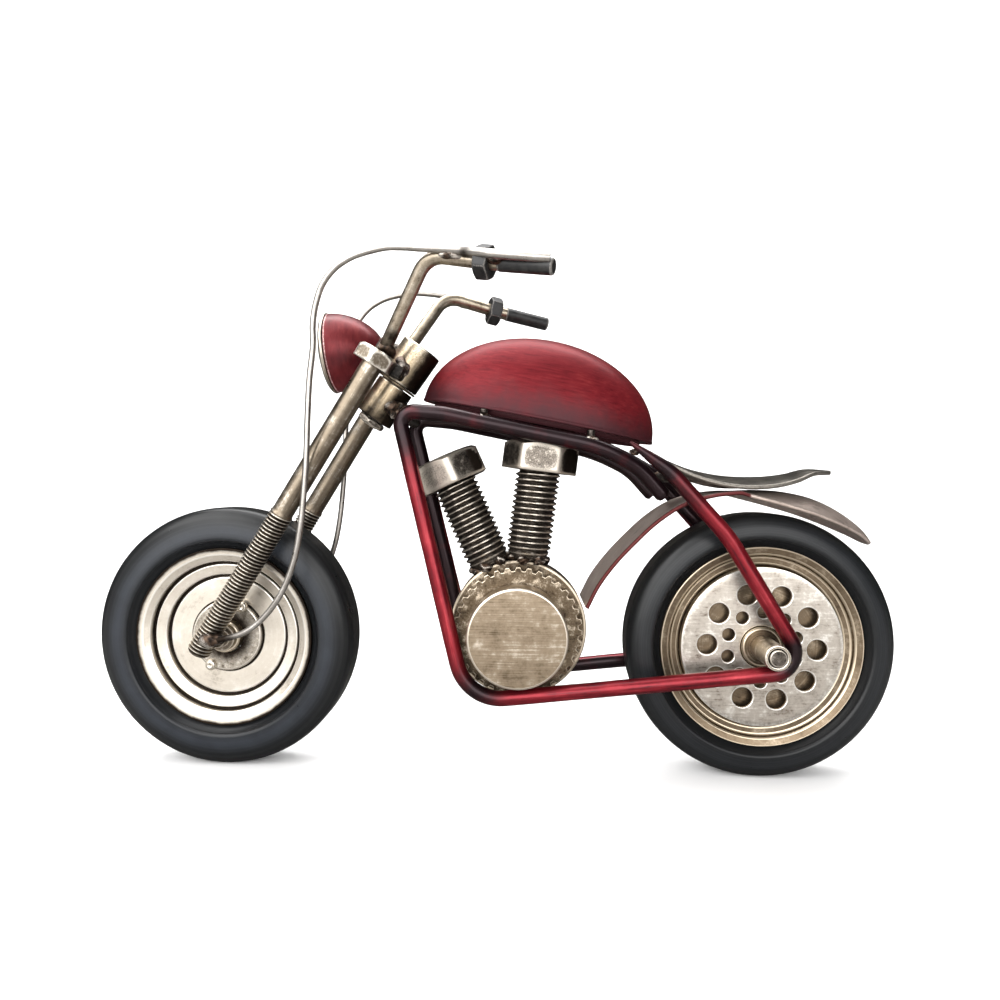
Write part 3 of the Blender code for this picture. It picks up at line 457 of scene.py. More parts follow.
for side in SIDES:
    route = bent_route(FRAME_CORNERS) * (1.0, side, 1.0)
    total = np.linalg.norm(np.diff(route, axis=0), axis=1).sum()
    points, lay = swept(route, lambda s, angle: rod_radius(s, angle, total))
    burns = np.array(FRAME_BURNS) * (1, side, 1, 1)
    # Weld burns and painted shade, strongest on the inner side facing the bike's middle, share one darkening
    # value.
    painted_shade = 0.85 * near(points, np.array(FRAME_PAINTED_SHADE) * (1, side, 1, 1))
    inner = np.clip(-1.3 * side * lay[..., 0] / FRAME_ROD, 0, 1)
    burn_and_shade = np.maximum(near(points, burns), painted_shade + 0.85 * inner)
    mesh = closed_mesh(side_name("frame_loop", side) + "_rod", points, burn_and_shade=burn_and_shade, lay=lay)
    fit(mesh, "frame", rod_red, side_name("frame_loop", side))

# ---------------------------------------------------------------- cross rods under the head and the saddle
# Short round bars that hold the two loops apart. They are plain steel, dark from the torch, and butt
# against the loops, where weld metal runs into the corners.


def square_to(axis):
    """Two unit vectors square to an axis, the first in the bike's side view."""
    axis = unit(axis)
    across = unit(np.cross(axis, (0, 1, 0))) if abs(axis[1]) < 0.9 else np.array((1.0, 0.0, 0.0))
    return across, np.cross(axis, across)


def softened(profile, soften, ring=False, steps=4):
    """A turned profile with each corner rounded off by a short parabola, and 1 for wear there, 0 beside it.

    profile is a list of (radius, length along the axis). Returns the radii, the lengths and the wear.
    """
    corners = np.array(profile, float)
    before, after = np.roll(corners, 1, 0), np.roll(corners, -1, 0)
    t = np.linspace(0, 1, steps)[:, None]
    rows = []
    for index, (a, p, b) in enumerate(zip(before, corners, after)):
        if not ring and index in (0, len(corners) - 1):
            rows.append([(*p, 0.0)])
            continue
        back, ahead = a - p, b - p
        if abs(np.cross(unit(back), unit(ahead))) < 0.05:
            rows.append([(*p, 0.0)])
            continue
        reach_back = min(soften, 0.4 * np.linalg.norm(back))
        reach_ahead = min(soften, 0.4 * np.linalg.norm(ahead))
        start, end = p + unit(back) * reach_back, p + unit(ahead) * reach_ahead
        arc = (1 - t) ** 2 * start + 2 * t * (1 - t) * p + t ** 2 * end
        rows.append([(*(start + unit(back) * 0.12 * reach_back), 0.0)])
        rows.append(np.column_stack((arc, np.ones(steps))))
        rows.append([(*(end + unit(ahead) * 0.12 * reach_ahead), 0.0)])
    made = np.vstack(rows)
    return made[:, 0], made[:, 1], made[:, 2]


def turned(profile, origin, axis, segments=96, soften=0.3, ring=False, shape=None):
    """A turned solid: every point of the softened profile swept once round the axis.

    shape(angle, length) scales the radii. Returns what closed_mesh takes: points, wear and lay.
    """
    radius, length, wear_and_sheen = softened(profile, soften, ring)
    across, other = square_to(axis)
    angle = np.linspace(0, 2 * pi, segments, endpoint=False)[None, :]
    reach = radius[:, None] * (shape(angle, length[:, None]) if shape else np.ones_like(angle))
    c, d = reach * np.cos(angle), reach * np.sin(angle)
    along = np.broadcast_to(length[:, None], c.shape)
    points = (np.asarray(origin, float) + along[..., None] * unit(axis) + c[..., None] * across
              + d[..., None] * other)
    return {"points": points, "wear_and_sheen": wear_and_sheen[:, None], "lay": np.stack((c, d, along), -1), "ring": ring}


def worn_group():
    """Bare or washed steel: a fine grain over clouds and specks, rubbed bright on edges, scorched by welds, with
    painted highlight and shade.
    """
    group, given, out = new_group(
        "worn_steel",
        {"Place": "Vector", "Grain Place": "Vector", "Grain": "Vector", "Clouds": "Float", "Contrast": "Float",
         "Wear_and_sheen": "Float", "Burn_and_shade": "Float", "Dark": "Color", "Middle": "Color", "Bright": "Color",
         "Burnt_and_shade": "Color", "Smooth": "Float", "Rough": "Float"},
        {"Color": "Color", "Roughness": "Float", "Height": "Float"})
    taken = given.outputs
    grain = noise(group, stretched(group, taken["Grain Place"], taken["Grain"]), 1.0, 4.0, 0.7)
    cloud = noise(group, taken["Place"], taken["Clouds"], 5.0, 0.62)
    speck = noise(group, taken["Place"], maths(group, "MULTIPLY", taken["Clouds"], 7.0), 2.0)
    lift = maths(group, "MULTIPLY", maths(group, "SUBTRACT", grain, 0.5), 0.9)
    lift = maths(group, "MULTIPLY_ADD", maths(group, "SUBTRACT", cloud, 0.5), 1.3, lift)
    lift = maths(group, "MULTIPLY_ADD", maths(group, "SUBTRACT", speck, 0.5), 0.5, lift)
    tone = maths(group, "MULTIPLY_ADD", lift, taken["Contrast"], 0.5)
    colour = blended(group, steep(group, tone, 0.05, 0.5), taken["Dark"], taken["Middle"])
    colour = blended(group, steep(group, tone, 0.5, 0.95), colour, taken["Bright"])
    # Rubbing and painted highlights both turn the steel to its bright colour.
    rubbed = maths(group, "MULTIPLY_ADD", maths(group, "SUBTRACT", speck, 0.5), 0.9, taken["Wear_and_sheen"])
    rubbed = steep(group, rubbed, 0.25, 0.9)
    colour = blended(group, rubbed, colour, taken["Bright"])
    # Weld burns and painted shade both turn the steel to its burnt colour.
    scorch_and_shade = maths(group, "MULTIPLY_ADD", maths(group, "SUBTRACT", cloud, 0.5), 0.9, taken["Burn_and_shade"])
    scorch_and_shade = steep(group, scorch_and_shade, 0.15, 0.85)
    colour = blended(group, scorch_and_shade, colour, taken["Burnt_and_shade"])
    spread = maths(group, "MULTIPLY", maths(group, "SUBTRACT", taken["Rough"], taken["Smooth"]), cloud)
    rough = maths(group, "ADD", spread, taken["Smooth"])
    rough = maths(group, "MULTIPLY_ADD", scorch_and_shade, 0.18, rough)
    group.links.new(colour, out.inputs["Color"])
    group.links.new(rough, out.inputs["Roughness"])
    group.links.new(maths(group, "MULTIPLY_ADD", cloud, 0.5, maths(group, "MULTIPLY", grain, 0.6)),
                    out.inputs["Height"])
    return group


WORN = worn_group()


def lathe_place(tree, place):
    """A place on turned stock as (radius, 0, length), so that a grain made from it runs round the axis."""
    split = add(tree, "ShaderNodeSeparateXYZ", {0: place})
    radius = maths(tree, "SQRT", maths(tree, "ADD", maths(tree, "MULTIPLY", split.outputs[0], split.outputs[0]),
                                       maths(tree, "MULTIPLY", split.outputs[1], split.outputs[1])))
    return add(tree, "ShaderNodeCombineXYZ", {"X": radius, "Z": split.outputs[2]}).outputs[0]


def worn_steel(name, dark, middle, bright, grain, clouds=260.0, contrast=1.0, smooth=0.24, rough=0.50,
               burnt_and_shade=(0.020, 0.014, 0.010), metallic=0.95, bump=0.30, lathe=False, stock="lay"):
    """A steel finish. grain is how many grains there are per metre along each axis of the straight stock."""
    material, tree, shader = new_material(name)
    if stock == "lay":
        place = kept(tree, "lay")[0]
    else:
        place = add(tree, "ShaderNodeTexCoord").outputs["Object"]
    steel = add(tree, "ShaderNodeGroup", node_tree=WORN)
    tree.links.new(place, steel.inputs["Place"])
    tree.links.new(lathe_place(tree, place) if lathe else place, steel.inputs["Grain Place"])
    tree.links.new(kept(tree, "wear_and_sheen")[1], steel.inputs["Wear_and_sheen"])
    tree.links.new(kept(tree, "burn_and_shade")[1], steel.inputs["Burn_and_shade"])
    for label, value in (("Grain", grain), ("Clouds", clouds), ("Contrast", contrast), ("Dark", (*dark, 1)),
                         ("Middle", (*middle, 1)), ("Bright", (*bright, 1)), ("Burnt_and_shade", (*burnt_and_shade, 1)),
                         ("Smooth", smooth), ("Rough", rough)):
        steel.inputs[label].default_value = value
    finish_shader(tree, shader, steel.outputs, 0.00010, bump)
    shader.inputs["Metallic"].default_value = metallic
    return material


torch_steel = worn_steel("torch-dark steel", (0.015, 0.012, 0.010), (0.055, 0.046, 0.040), (0.30, 0.27, 0.24),
                         (1400, 1400, 300), clouds=420.0, contrast=1.2, smooth=0.30, rough=0.60, bump=0.6)

for node in ("head_crossbar", "seat_crossbar"):
    centre, length = middle(node), extent(node)[1] / 2
    radius = extent(node)[2] / 2
    bar = turned([(0.01, -length), (radius, -length), (radius, length), (0.01, length)], centre, (0, 1, 0), 40)
    fit(closed_mesh(node + "_bar", **bar), "frame", torch_steel, node)

# ---------------------------------------------------------------- head tube
# A short piece of thick-walled tube on the raked head axis, bored for the fork's stem. Its bronze wash is
# rubbed through on the ends, its foot is burnt where the loops are welded to it, and its rear side is painted
# dark as shade.
steering = next(joint for joint in frame["joints"] if joint["name"] == "steering")
HEAD_POINT = np.array(steering["pos_m"]) / MM
HEAD_AXIS = unit(steering["axis"])
BORE = 3.3
TUBE_RADIUS, TUBE_LOW, TUBE_HIGH = 6.85, -14.6, -0.45

bronze = worn_steel("bronze-washed steel", (0.070, 0.048, 0.028), (0.37, 0.295, 0.200), (0.80, 0.71, 0.57),
                    (1500, 1500, 70), clouds=300.0, contrast=0.9, smooth=0.22, rough=0.44)
tube = turned([(BORE, TUBE_LOW), (TUBE_RADIUS, TUBE_LOW), (TUBE_RADIUS, TUBE_HIGH), (BORE, TUBE_HIGH)],
              HEAD_POINT, HEAD_AXIS, 96, 0.5, ring=True)
# Painted shade: the tube's rear side is darkened.
rear_shade = np.clip(-1.9 * tube["lay"][..., 0] / TUBE_RADIUS - 0.35, 0, 1)
tube["burn_and_shade"] = 0.9 * np.maximum(np.clip((TUBE_LOW + 4.5 - tube["lay"][..., 2]) / 5.0, 0, 1), rear_shade)
fit(closed_mesh("head_tube_sleeve", **tube), "frame", bronze, "head_tube")

# ---------------------------------------------------------------- tank
# A dome pressed from sheet, like half an egg, on a flat floor plate. The lacquer is brushed along the tank.
# Painted shade darkens a band above the rim, whose folded lip is rubbed bright, and the floor plate under the
# dome. Four lugs carry the rim.
TANK_CENTRE = np.array((16.5, 0.0, 123.6))
TANK_TILT = radians(-10.6)
TANK_HALF_LENGTH, TANK_HALF_WIDTH, TANK_HEIGHT, TANK_SHEET = 41.4, 17.6, 29.4, 1.2
ALONG_TANK = np.array((cos(TANK_TILT), 0.0, sin(TANK_TILT)))
ABOVE_TANK = np.array((-sin(TANK_TILT), 0.0, cos(TANK_TILT)))
SHADE_BAND_HEIGHT, SHADE_BAND_FADE = 16.0, 15.0


def tank_place(x, y, z):
    """A point in the tank's own frame, along, across and above its rim plane, as a point on the bike."""
    across = y[..., None] * np.array((0, 1.0, 0))
    return TANK_CENTRE + x[..., None] * ALONG_TANK + across + z[..., None] * ABOVE_TANK


def tank_dome():
    """Half an ellipsoid: rows run from the crown inside, down to the rim, and up the outside to the crown.

    length and width fall with the cosine of the row's lift and the height rises with its sine, all drawn in
    by the sheet on the inside. The lip pushes the lowest rows of the outside out a little.
    """
    turn = np.linspace(0, 2 * pi, 144, endpoint=False)[None, :]
    inside = np.linspace(pi / 2 - 0.01, 0, 26)
    outside = np.concatenate(([0, 0.008, 0.018, 0.03, 0.036], np.linspace(0.06, pi / 2 - 0.01, 60)))
    lift = np.concatenate((inside, outside))[:, None]
    inset = np.concatenate((np.full(len(inside), TANK_SHEET), np.zeros(len(outside))))[:, None]
    lip = np.where(inset == 0, 0.30 * np.clip(1 - np.abs(lift - 0.014) / 0.022, 0, 1), 0)
    x = (TANK_HALF_LENGTH - inset) * np.cos(lift) * np.cos(turn) + lip * np.cos(turn)
    y = (TANK_HALF_WIDTH - inset) * np.cos(lift) * np.sin(turn) + lip * np.sin(turn)
    z = (TANK_HEIGHT - inset) * np.sin(lift) + 0 * turn
    wear_and_sheen = np.where((inset == 0) & (lift > 0.004) & (lift < 0.024), 0.42, 0.0) + 0 * turn
    # Painted shade: the outside darkens towards the rim.
    band = np.clip((SHADE_BAND_HEIGHT + 1.2 * np.sin(3 * turn) - z) / SHADE_BAND_FADE, 0, 1) * (inset == 0)
    return tank_place(x, y, z), wear_and_sheen, 0.75 * band, np.stack((x, y, z), -1)


# The burnt colour here is the painted shade low on the dome and on the floor plate.
tank_red = red_lacquer("tank red lacquer", (110, 900, 1300), (0.085, 0.006, 0.009, 1), (0.140, 0.010, 0.014, 1),
                       (0.225, 0.024, 0.025, 1), burnt_and_shade=(0.050, 0.016, 0.019, 1),
                       smooth=0.32, metallic=0.45, glaze=0.04, shine=0.12)
points, wear_and_sheen, band, lay = tank_dome()
fit(closed_mesh("tank_dome", points, wear_and_sheen, band, lay), "frame", tank_red, "fuel_tank")

turn = np.linspace(0, 2 * pi, 96, endpoint=False)[None, :]
# The floor plate's section as (share of its size, height): flat, with a rib that reaches down to the rails.
FLOOR_RINGS = np.array([(0.02, 0.1), (0.88, 0.1), (0.89, -1.5), (0.90, -1.7), (0.92, -1.7), (0.93, -1.5),
                        (0.95, 0.1), (0.995, 0.1), (1.0, 0.3), (1.0, 1.1), (0.995, 1.3), (0.02, 1.3)])
reach, level = FLOOR_RINGS[:, :1], FLOOR_RINGS[:, 1:]
FLOOR_INSET = 1.7
plate = tank_place(reach * (TANK_HALF_LENGTH - FLOOR_INSET) * np.cos(turn),
                   reach * (TANK_HALF_WIDTH - FLOOR_INSET) * np.sin(turn), level + 0 * turn)
# Painted shade: the floor plate under the dome is darkened all over.
fit(closed_mesh("tank_floor_plate", plate, burn_and_shade=0.95), "frame", tank_red, "tank_floor")

for end in ("front", "rear"):
    for side in SIDES:
        node = side_name("tank_lug_" + end, side)
        centre, half = middle(node), extent(node)[2] / 2
        lug = turned([(0.01, -half), (1.3, -half), (1.3, half), (0.01, half)], centre, (0, 0, 1), 28, 0.3)
        lug["wear_and_sheen"] = 0.35 * lug["wear_and_sheen"]
        fit(closed_mesh(node + "_peg", **lug), "frame", torch_steel, node)

# ---------------------------------------------------------------- saddle
# A leaf-shaped pan pressed from sheet: its nose is tucked against the tank, it dips in the middle, and its
# tail turns up. It is finished in a dark satin grey.


def smooth_route(points, step):
    """Points a step apart on the Catmull-Rom curve through given ones."""
    knots = np.array(points, float)
    knots = np.vstack([2 * knots[0] - knots[1], knots, 2 * knots[-1] - knots[-2]])
    t = np.linspace(0, 1, 12, endpoint=False)[:, None, None]
    a, b, c, d = (knots[i:len(knots) - 3 + i][None] for i in range(4))
    curve = 0.5 * (2 * b + (c - a) * t + (2 * a - 5 * b + 4 * c - d) * t ** 2
                   + (3 * b - a - 3 * c + d) * t ** 3)
    return spaced(np.vstack((curve.transpose(1, 0, 2).reshape(-1, knots.shape[1]), knots[-2:-1])), step)


def pressed_strip(line, half_width, droop, thickness):
    """A curved strip with round edges: line is its middle in X and Z, with a half width and droop at each row.

    Across, the sheet falls by the droop times the square of the share of the half width. Each row's section
    is the upper face, half a circle round one edge, the lower face and half a circle round the other.
    """
    tangent = unit(np.gradient(line, axis=0))
    normal = np.column_stack((-tangent[:, 1], tangent[:, 0]))
    share = np.linspace(-1, 1, 33)
    edge = np.linspace(pi / 2, -pi / 2, 7)[1:-1]
    half = thickness / 2
    u = np.concatenate((share, np.ones(5), share[::-1], -np.ones(5)))[None, :]
    out = np.concatenate((0 * share, half * np.cos(edge), 0 * share, -half * np.cos(edge)))[None, :]
    rise = np.concatenate((half + 0 * share, half * np.sin(edge),
                           -half + 0 * share, -half * np.sin(edge)))[None, :]
    y = u * (half_width[:, None] - half) + out
    fall = rise - droop[:, None] * u ** 2
    points = np.stack((line[:, :1] + normal[:, :1] * fall, y, line[:, 1:] + normal[:, 1:] * fall), -1)
    length = np.concatenate(([0], np.cumsum(np.linalg.norm(np.diff(line, axis=0), axis=1))))[:, None]
    wear_and_sheen = (np.abs(u) > 0.97) * 0.75 + 0 * y
    return points, wear_and_sheen, np.stack((length + 0 * y, y, rise + 0 * y), -1)


SEAT_HALF_WIDTH, SEAT_TIP, SEAT_DROOP, SEAT_SHEET = 13.2, 1.2, 2.9, 1.5
seat_line = smooth_route([(60.6, 110.4), (70.6, 106.6), (82.6, 104.4), (94.9, 104.2), (104.0, 105.3),
                          (111.0, 107.0), (118.8, 106.6)], 0.8)
share = np.linspace(0, 1, len(seat_line))
seat_half = SEAT_TIP + (SEAT_HALF_WIDTH - SEAT_TIP) * np.sin(pi * (0.06 + 0.92 * share)) ** 0.62
seat_grey = worn_steel("saddle grey", (0.020, 0.018, 0.015), (0.062, 0.056, 0.047), (0.22, 0.20, 0.175),
                       (90, 1300, 1300), clouds=170.0, contrast=0.9, smooth=0.26, rough=0.46, metallic=0.8)
seat_droop = SEAT_DROOP * (seat_half / SEAT_HALF_WIDTH) ** 2
points, wear_and_sheen, lay = pressed_strip(seat_line, seat_half, seat_droop, SEAT_SHEET)
# The saddle darkens over the first 9 mm of its nose, where it is tucked against the tank.
burn_and_shade = 0.8 * np.clip(1 - lay[..., 0] / 9.0, 0, 1)
fit(closed_mesh("saddle_pan", points, wear_and_sheen, burn_and_shade, lay), "frame", seat_grey, "seat_pan")

# ---------------------------------------------------------------- rear fender
# A strip of sheet that climbs from the bottom rails in front of the wheel, passes under the saddle and ends
# behind it in a drooping leaf. Taupe satin; red lacquer has caught the edges of the strip.
FENDER_HALF_WIDTH, FENDER_DROOP, FENDER_SHEET, LEAF_START = 14.2, 5.0, 1.3, 0.56
fender_line = smooth_route([(33.9, 59.6), (37.8, 67.4), (43.3, 75.0), (50.0, 82.3), (57.4, 89.3), (66.0, 95.0),
                            (76.0, 98.2), (86.0, 99.3), (95.5, 99.6), (104.5, 98.8), (113.4, 96.6),
                            (122.0, 92.4), (129.4, 86.8), (133.8, 81.6)], 0.9)
share = np.linspace(0, 1, len(fender_line))
leaf = np.clip((share - LEAF_START) / (1 - LEAF_START), 0, 1)
fender_half = FENDER_HALF_WIDTH * np.sqrt(np.clip(1 - leaf ** 2.6, 0.006, 1))
fender_taupe = worn_steel("fender taupe", (0.17, 0.132, 0.110), (0.50, 0.410, 0.360), (0.68, 0.60, 0.54),
                          (60, 1100, 1100), clouds=150.0, contrast=0.8, smooth=0.26, rough=0.46,
                          burnt_and_shade=(0.10, 0.020, 0.020), metallic=0.75)
points, wear_and_sheen, lay = pressed_strip(fender_line, fender_half, FENDER_DROOP * np.abs(np.sin(pi * leaf)) ** 0.8,
                                  FENDER_SHEET)
on_strip = (leaf < 0.05)[:, None]
edge_burn = 0.9 * np.clip((np.abs(lay[..., 1]) / fender_half[:, None] - 0.86) / 0.1, 0, 1) * on_strip
fit(closed_mesh("fender_strip", points, 0.3 * wear_and_sheen, edge_burn, lay), "frame", fender_taupe,
    "rear_fender")

# ---------------------------------------------------------------- engine: drum, toothed rings and caps
# The crankcase is a turned drum with a toothed ring on each side, and on each ring a thick round cap whose
# flat face is brushed straight across and whose rim is rubbed bright.
DRUM_CENTRE = middle("engine_drum")
DRUM_RADIUS = extent("engine_drum")[2] / 2
DRUM_HALF, RING_OUT, CAP_BACK, CAP_FACE = 5.5, 11.0, 13.0, 23.0
NECK_RADIUS, CAP_RADIUS, TOOTH_RADIUS, TOOTH_DEPTH, TOOTH_COUNT = 12.5, 16.9, 22.4, 1.3, 36

drum_bronze = worn_steel("drum bronze", (0.030, 0.021, 0.013), (0.130, 0.097, 0.064), (0.62, 0.53, 0.41),
                         (500, 500, 1600), clouds=260.0, contrast=1.1, smooth=0.26, rough=0.50, bump=0.5)
drum_half = [(DRUM_RADIUS, DRUM_HALF - 0.2), (DRUM_RADIUS - 0.5, DRUM_HALF), (0.01, DRUM_HALF)]
drum = turned([(r, -y) for r, y in reversed(drum_half)] + drum_half, DRUM_CENTRE, (0, 1, 0), 144, 0.4)
drum["burn_and_shade"] = 0.7 * near(drum["points"], [(8, 0, 74, 9), (14, 0, 74, 9)])
fit(closed_mesh("engine_drum_body", **drum), "frame", drum_bronze, "engine_drum")


def tooth_shape(angle, length):
    """The share of the tip radius: 36 flat-topped teeth, from a steepened cosine, with even gaps."""
    wave = np.clip(0.5 + 1.6 * np.cos(TOOTH_COUNT * angle), 0, 1)
    return 1 - TOOTH_DEPTH / TOOTH_RADIUS * (1 - wave) + 0 * length


cap_face_steel = worn_steel("cap face", (0.13, 0.096, 0.062), (0.32, 0.250, 0.175), (0.74, 0.66, 0.55),
                            (60, 900, 3400), clouds=90.0, contrast=1.1, smooth=0.24, rough=0.40, stock="object",
                            bump=0.35)
for side in SIDES:
    out = (0.0, float(side), 0.0)
    section = [(NECK_RADIUS + 1.1, DRUM_HALF + 0.3), (TOOTH_RADIUS, DRUM_HALF + 0.3), (TOOTH_RADIUS, RING_OUT),
               (NECK_RADIUS + 1.1, RING_OUT)]
    toothed = turned(section, DRUM_CENTRE, out, TOOTH_COUNT * 12, 0.35, True, tooth_shape)
    fit(closed_mesh(side_name("toothed_ring", side) + "_gear", **toothed), "frame", drum_bronze,
        side_name("toothed_ring", side))
    cap = turned([(0.01, DRUM_HALF + 0.3), (NECK_RADIUS, DRUM_HALF + 0.3), (NECK_RADIUS, CAP_BACK),
                  (CAP_RADIUS, CAP_BACK), (CAP_RADIUS, CAP_FACE), (0.01, CAP_FACE)], DRUM_CENTRE, out, 144, 0.8)
    fit(closed_mesh(side_name("engine_cap", side) + "_cover", **cap), "frame", cap_face_steel,
        side_name("engine_cap", side))

# ---------------------------------------------------------------- cylinder bolts
# Two big hex bolts stand head up on the drum as the cylinders of a V-twin. Their threads are gunmetal with
# crests rubbed bright, and their heads are scuffed silver, bevelled on top.
BOLT_RADIUS, BOLT_PITCH, BOLT_DEPTH, BOLT_FLAT = 8.0, 2.0, 1.15, 12.0
BOLT_SHANK, BOLT_HEAD = 31.6, 10.2
BOLT_POINT, BOLT_CHAMFER = 6.5, 4.9
HEX_COLUMNS = 96


def hexagon(angle):
    """Radius of a hexagon with flats at distance 1 and corners at 30, 90 ... degrees, slightly rounded off."""
    turn = (angle + pi / 6) % (pi / 3) - pi / 6
    return 1 / np.cos(turn) - 0.035 * np.exp(-((np.abs(turn) - pi / 6) / 0.045) ** 2)


def thread_rows(low, high, crest, depth, pitch, fade_high=True):
    """Rows of a screw thread: the radius falls from the crest by the depth as a trapezoid wave.

    The wave follows length over pitch less angle over a full turn. Returns radius, length and wear.
    """
    length = np.linspace(low, high, int((high - low) / pitch * 10) + 1)[:, None]
    angle = np.linspace(0, 2 * pi, HEX_COLUMNS, endpoint=False)[None, :]
    turn = (length / pitch - angle / (2 * pi)) % 1.0
    rise = np.clip((np.abs(2 * turn - 1) - 0.14) / 0.66, 0, 1)
    fade = np.clip((high - length) / pitch, 0, 1) if fade_high else 1.0
    radius = crest - depth * (1 - rise) * fade
    return radius, length + 0 * angle, np.clip((rise - 0.80) / 0.2, 0, 1) * 0.8


def head_rows(low, high, flat, shank, chamfer):
    """Rows of a hex head: out along its bearing face, up its six flats, and in over the conical chamfer.

    Each column's flat ends where the cone meets it, which draws the arc on every face. Wear is 1 round the
    border of each face and 0 in its middle. Returns radius, length and wear.
    """
    angle = np.linspace(0, 2 * pi, HEX_COLUMNS, endpoint=False)[None, :]
    across = flat * hexagon(angle)
    turn = (angle + pi / 6) % (pi / 3) - pi / 6
    top = high - (across - 0.93 * flat) * chamfer
    t = np.array((0.0, 0.03, 0.12, 0.25, 0.4, 0.55, 0.7, 0.82, 0.92, 0.97, 1.0))[:, None]
    face_radius = across * np.where(t == 0, 0.985, 1.0)
    face_length = low + (top - low) * t
    sideways = np.tan(np.abs(turn)) / tan(pi / 6)
    border = (sideways ** 3.5 + np.abs(2 * t - 1) ** 3.5) ** (1 / 3.5)
    face_wear = 0.30 + 0.68 * np.clip((border - 0.70) / 0.26, 0, 1)
    cone = np.linspace(0.12, 1, 5)[:, None]
    cone_radius = across + (0.93 * flat - across) * cone
    cone_length = top + (high - top) * cone
    level = np.zeros_like(angle)
    radius = np.vstack((level + shank, level + 0.93 * flat, face_radius, cone_radius, level + 0.85 * flat,
                        level + 0.02))
    length = np.vstack((level + low, level + low, face_length, cone_length, level + high, level + high))
    cone_wear = np.where(cone < 0.3, 0.95, 0.55) + level
    wear_and_sheen = np.vstack((level, level + 0.4, face_wear, cone_wear, level + 0.35, level + 0.2))
    return radius, length, wear_and_sheen


def on_axis(rows, origin, axis, phase=0.0):
    """Places stacked rows of (radius, length, wear) about an axis, turned by the phase."""
    radius, length, wear_and_sheen = (np.vstack(part) for part in zip(*rows))
    across, other = square_to(axis)
    angle = phase + np.linspace(0, 2 * pi, radius.shape[1], endpoint=False)[None, :]
    c, d = radius * np.cos(angle), radius * np.sin(angle)
    points = (np.asarray(origin, float) + length[..., None] * unit(axis) + c[..., None] * across
              + d[..., None] * other)
    return {"points": points, "wear_and_sheen": wear_and_sheen, "lay": np.stack((c, d, length), -1)}


def plain_rows(profile, columns=HEX_COLUMNS, wear_and_sheen=0.0):
    """Rows of constant radius: profile is a list of (radius, length)."""
    radius, length = np.array(profile, float).T[:, :, None] + np.zeros(columns)
    return radius, length, radius * 0 + wear_and_sheen


bolt_steel = worn_steel("bolt gunmetal", (0.028, 0.025, 0.022), (0.125, 0.107, 0.090), (0.64, 0.58, 0.50),
                        (500, 500, 500), clouds=380.0, contrast=1.15, smooth=0.24, rough=0.52, bump=0.5)
# name: (lean towards the rear, turn about its own axis)
BOLTS = {"cylinder_bolt_front": (radians(-24.5), radians(8.0)),
         "cylinder_bolt_rear": (radians(7.0), radians(30.0))}
for node, (lean, phase) in BOLTS.items():
    direction = np.array((sin(lean), 0.0, cos(lean)))
    foot = DRUM_CENTRE + direction * (DRUM_RADIUS + 0.3)
    point = thread_rows(0.0, BOLT_SHANK - 0.6, BOLT_RADIUS, BOLT_DEPTH, BOLT_PITCH, fade_high=False)
    ground = BOLT_POINT + (BOLT_RADIUS - BOLT_POINT) * np.clip(point[1] / BOLT_CHAMFER, 0, 1)
    point = (np.minimum(point[0], ground), point[1], point[2])
    rows = [plain_rows([(0.02, 0), (BOLT_POINT - 1.0, 0)]), point,
            head_rows(BOLT_SHANK, BOLT_SHANK + BOLT_HEAD, BOLT_FLAT, BOLT_RADIUS - BOLT_DEPTH, 0.62)]
    bolt = on_axis(rows, foot, direction, phase)
    # The thread is darker in its valleys, and its foot is burnt by the weld round it.
    depth = BOLT_RADIUS - np.linalg.norm(bolt["lay"][..., :2], axis=-1)
    valley = 0.6 * np.clip(depth / BOLT_DEPTH, 0, 1) * (bolt["lay"][..., 2] < BOLT_SHANK - 0.3)
    bolt["burn_and_shade"] = np.maximum(valley, 0.8 * np.clip(1 - bolt["lay"][..., 2] / 4.0, 0, 1))
    # Painted shade darkens the rear faces of the heads, and a painted highlight brightens the front bolt's front
    # face.
    on_head = bolt["lay"][..., 2] > BOLT_SHANK
    axis_x = foot[0] + bolt["lay"][..., 2] * direction[0]
    rearward = (bolt["points"][..., 0] - axis_x) / BOLT_FLAT * on_head
    rear_face_shade = 0.85 * np.clip((rearward - 0.52) / 0.2, 0, 1) * (bolt["wear_and_sheen"] < 0.9)
    bolt["burn_and_shade"] = np.maximum(bolt["burn_and_shade"], rear_face_shade)
    if lean < 0:
        bolt["wear_and_sheen"] = bolt["wear_and_sheen"] + 0.35 * np.clip((-rearward + 0.35) / 0.3, 0, 1) * on_head
    fit(closed_mesh(node + "_screw", **bolt), "frame", bolt_steel, node)

# ---------------------------------------------------------------- rear axle and its spacer tubes
# The rear wheel turns on a plain rod. Outside the wheel a thick bright tube on each side reaches past the
# loop, which is welded to it, and shows its cut end with the rod inside.
REAR_AXLE = middle("rear_tyre")
AXLE_REAR_RADIUS, SPACER_RADIUS, SPACER_IN, SPACER_OUT = 2.8, 4.2, 9.1, 24.0
AXLE_REAR_HALF = extent("rear_axle")[1] / 2
bright_tube = worn_steel("bright tube", (0.07, 0.055, 0.040), (0.32, 0.265, 0.195), (0.90, 0.84, 0.74),
                         (600, 600, 1500), clouds=300.0, contrast=0.9, smooth=0.2, rough=0.42, lathe=True)
axle = turned([(0.01, -AXLE_REAR_HALF), (AXLE_REAR_RADIUS, -AXLE_REAR_HALF), (AXLE_REAR_RADIUS, AXLE_REAR_HALF),
               (0.01, AXLE_REAR_HALF)], REAR_AXLE, (0, 1, 0), 48, 0.35)
fit(closed_mesh("rear_axle_rod", **axle), "frame", bolt_steel, "rear_axle")
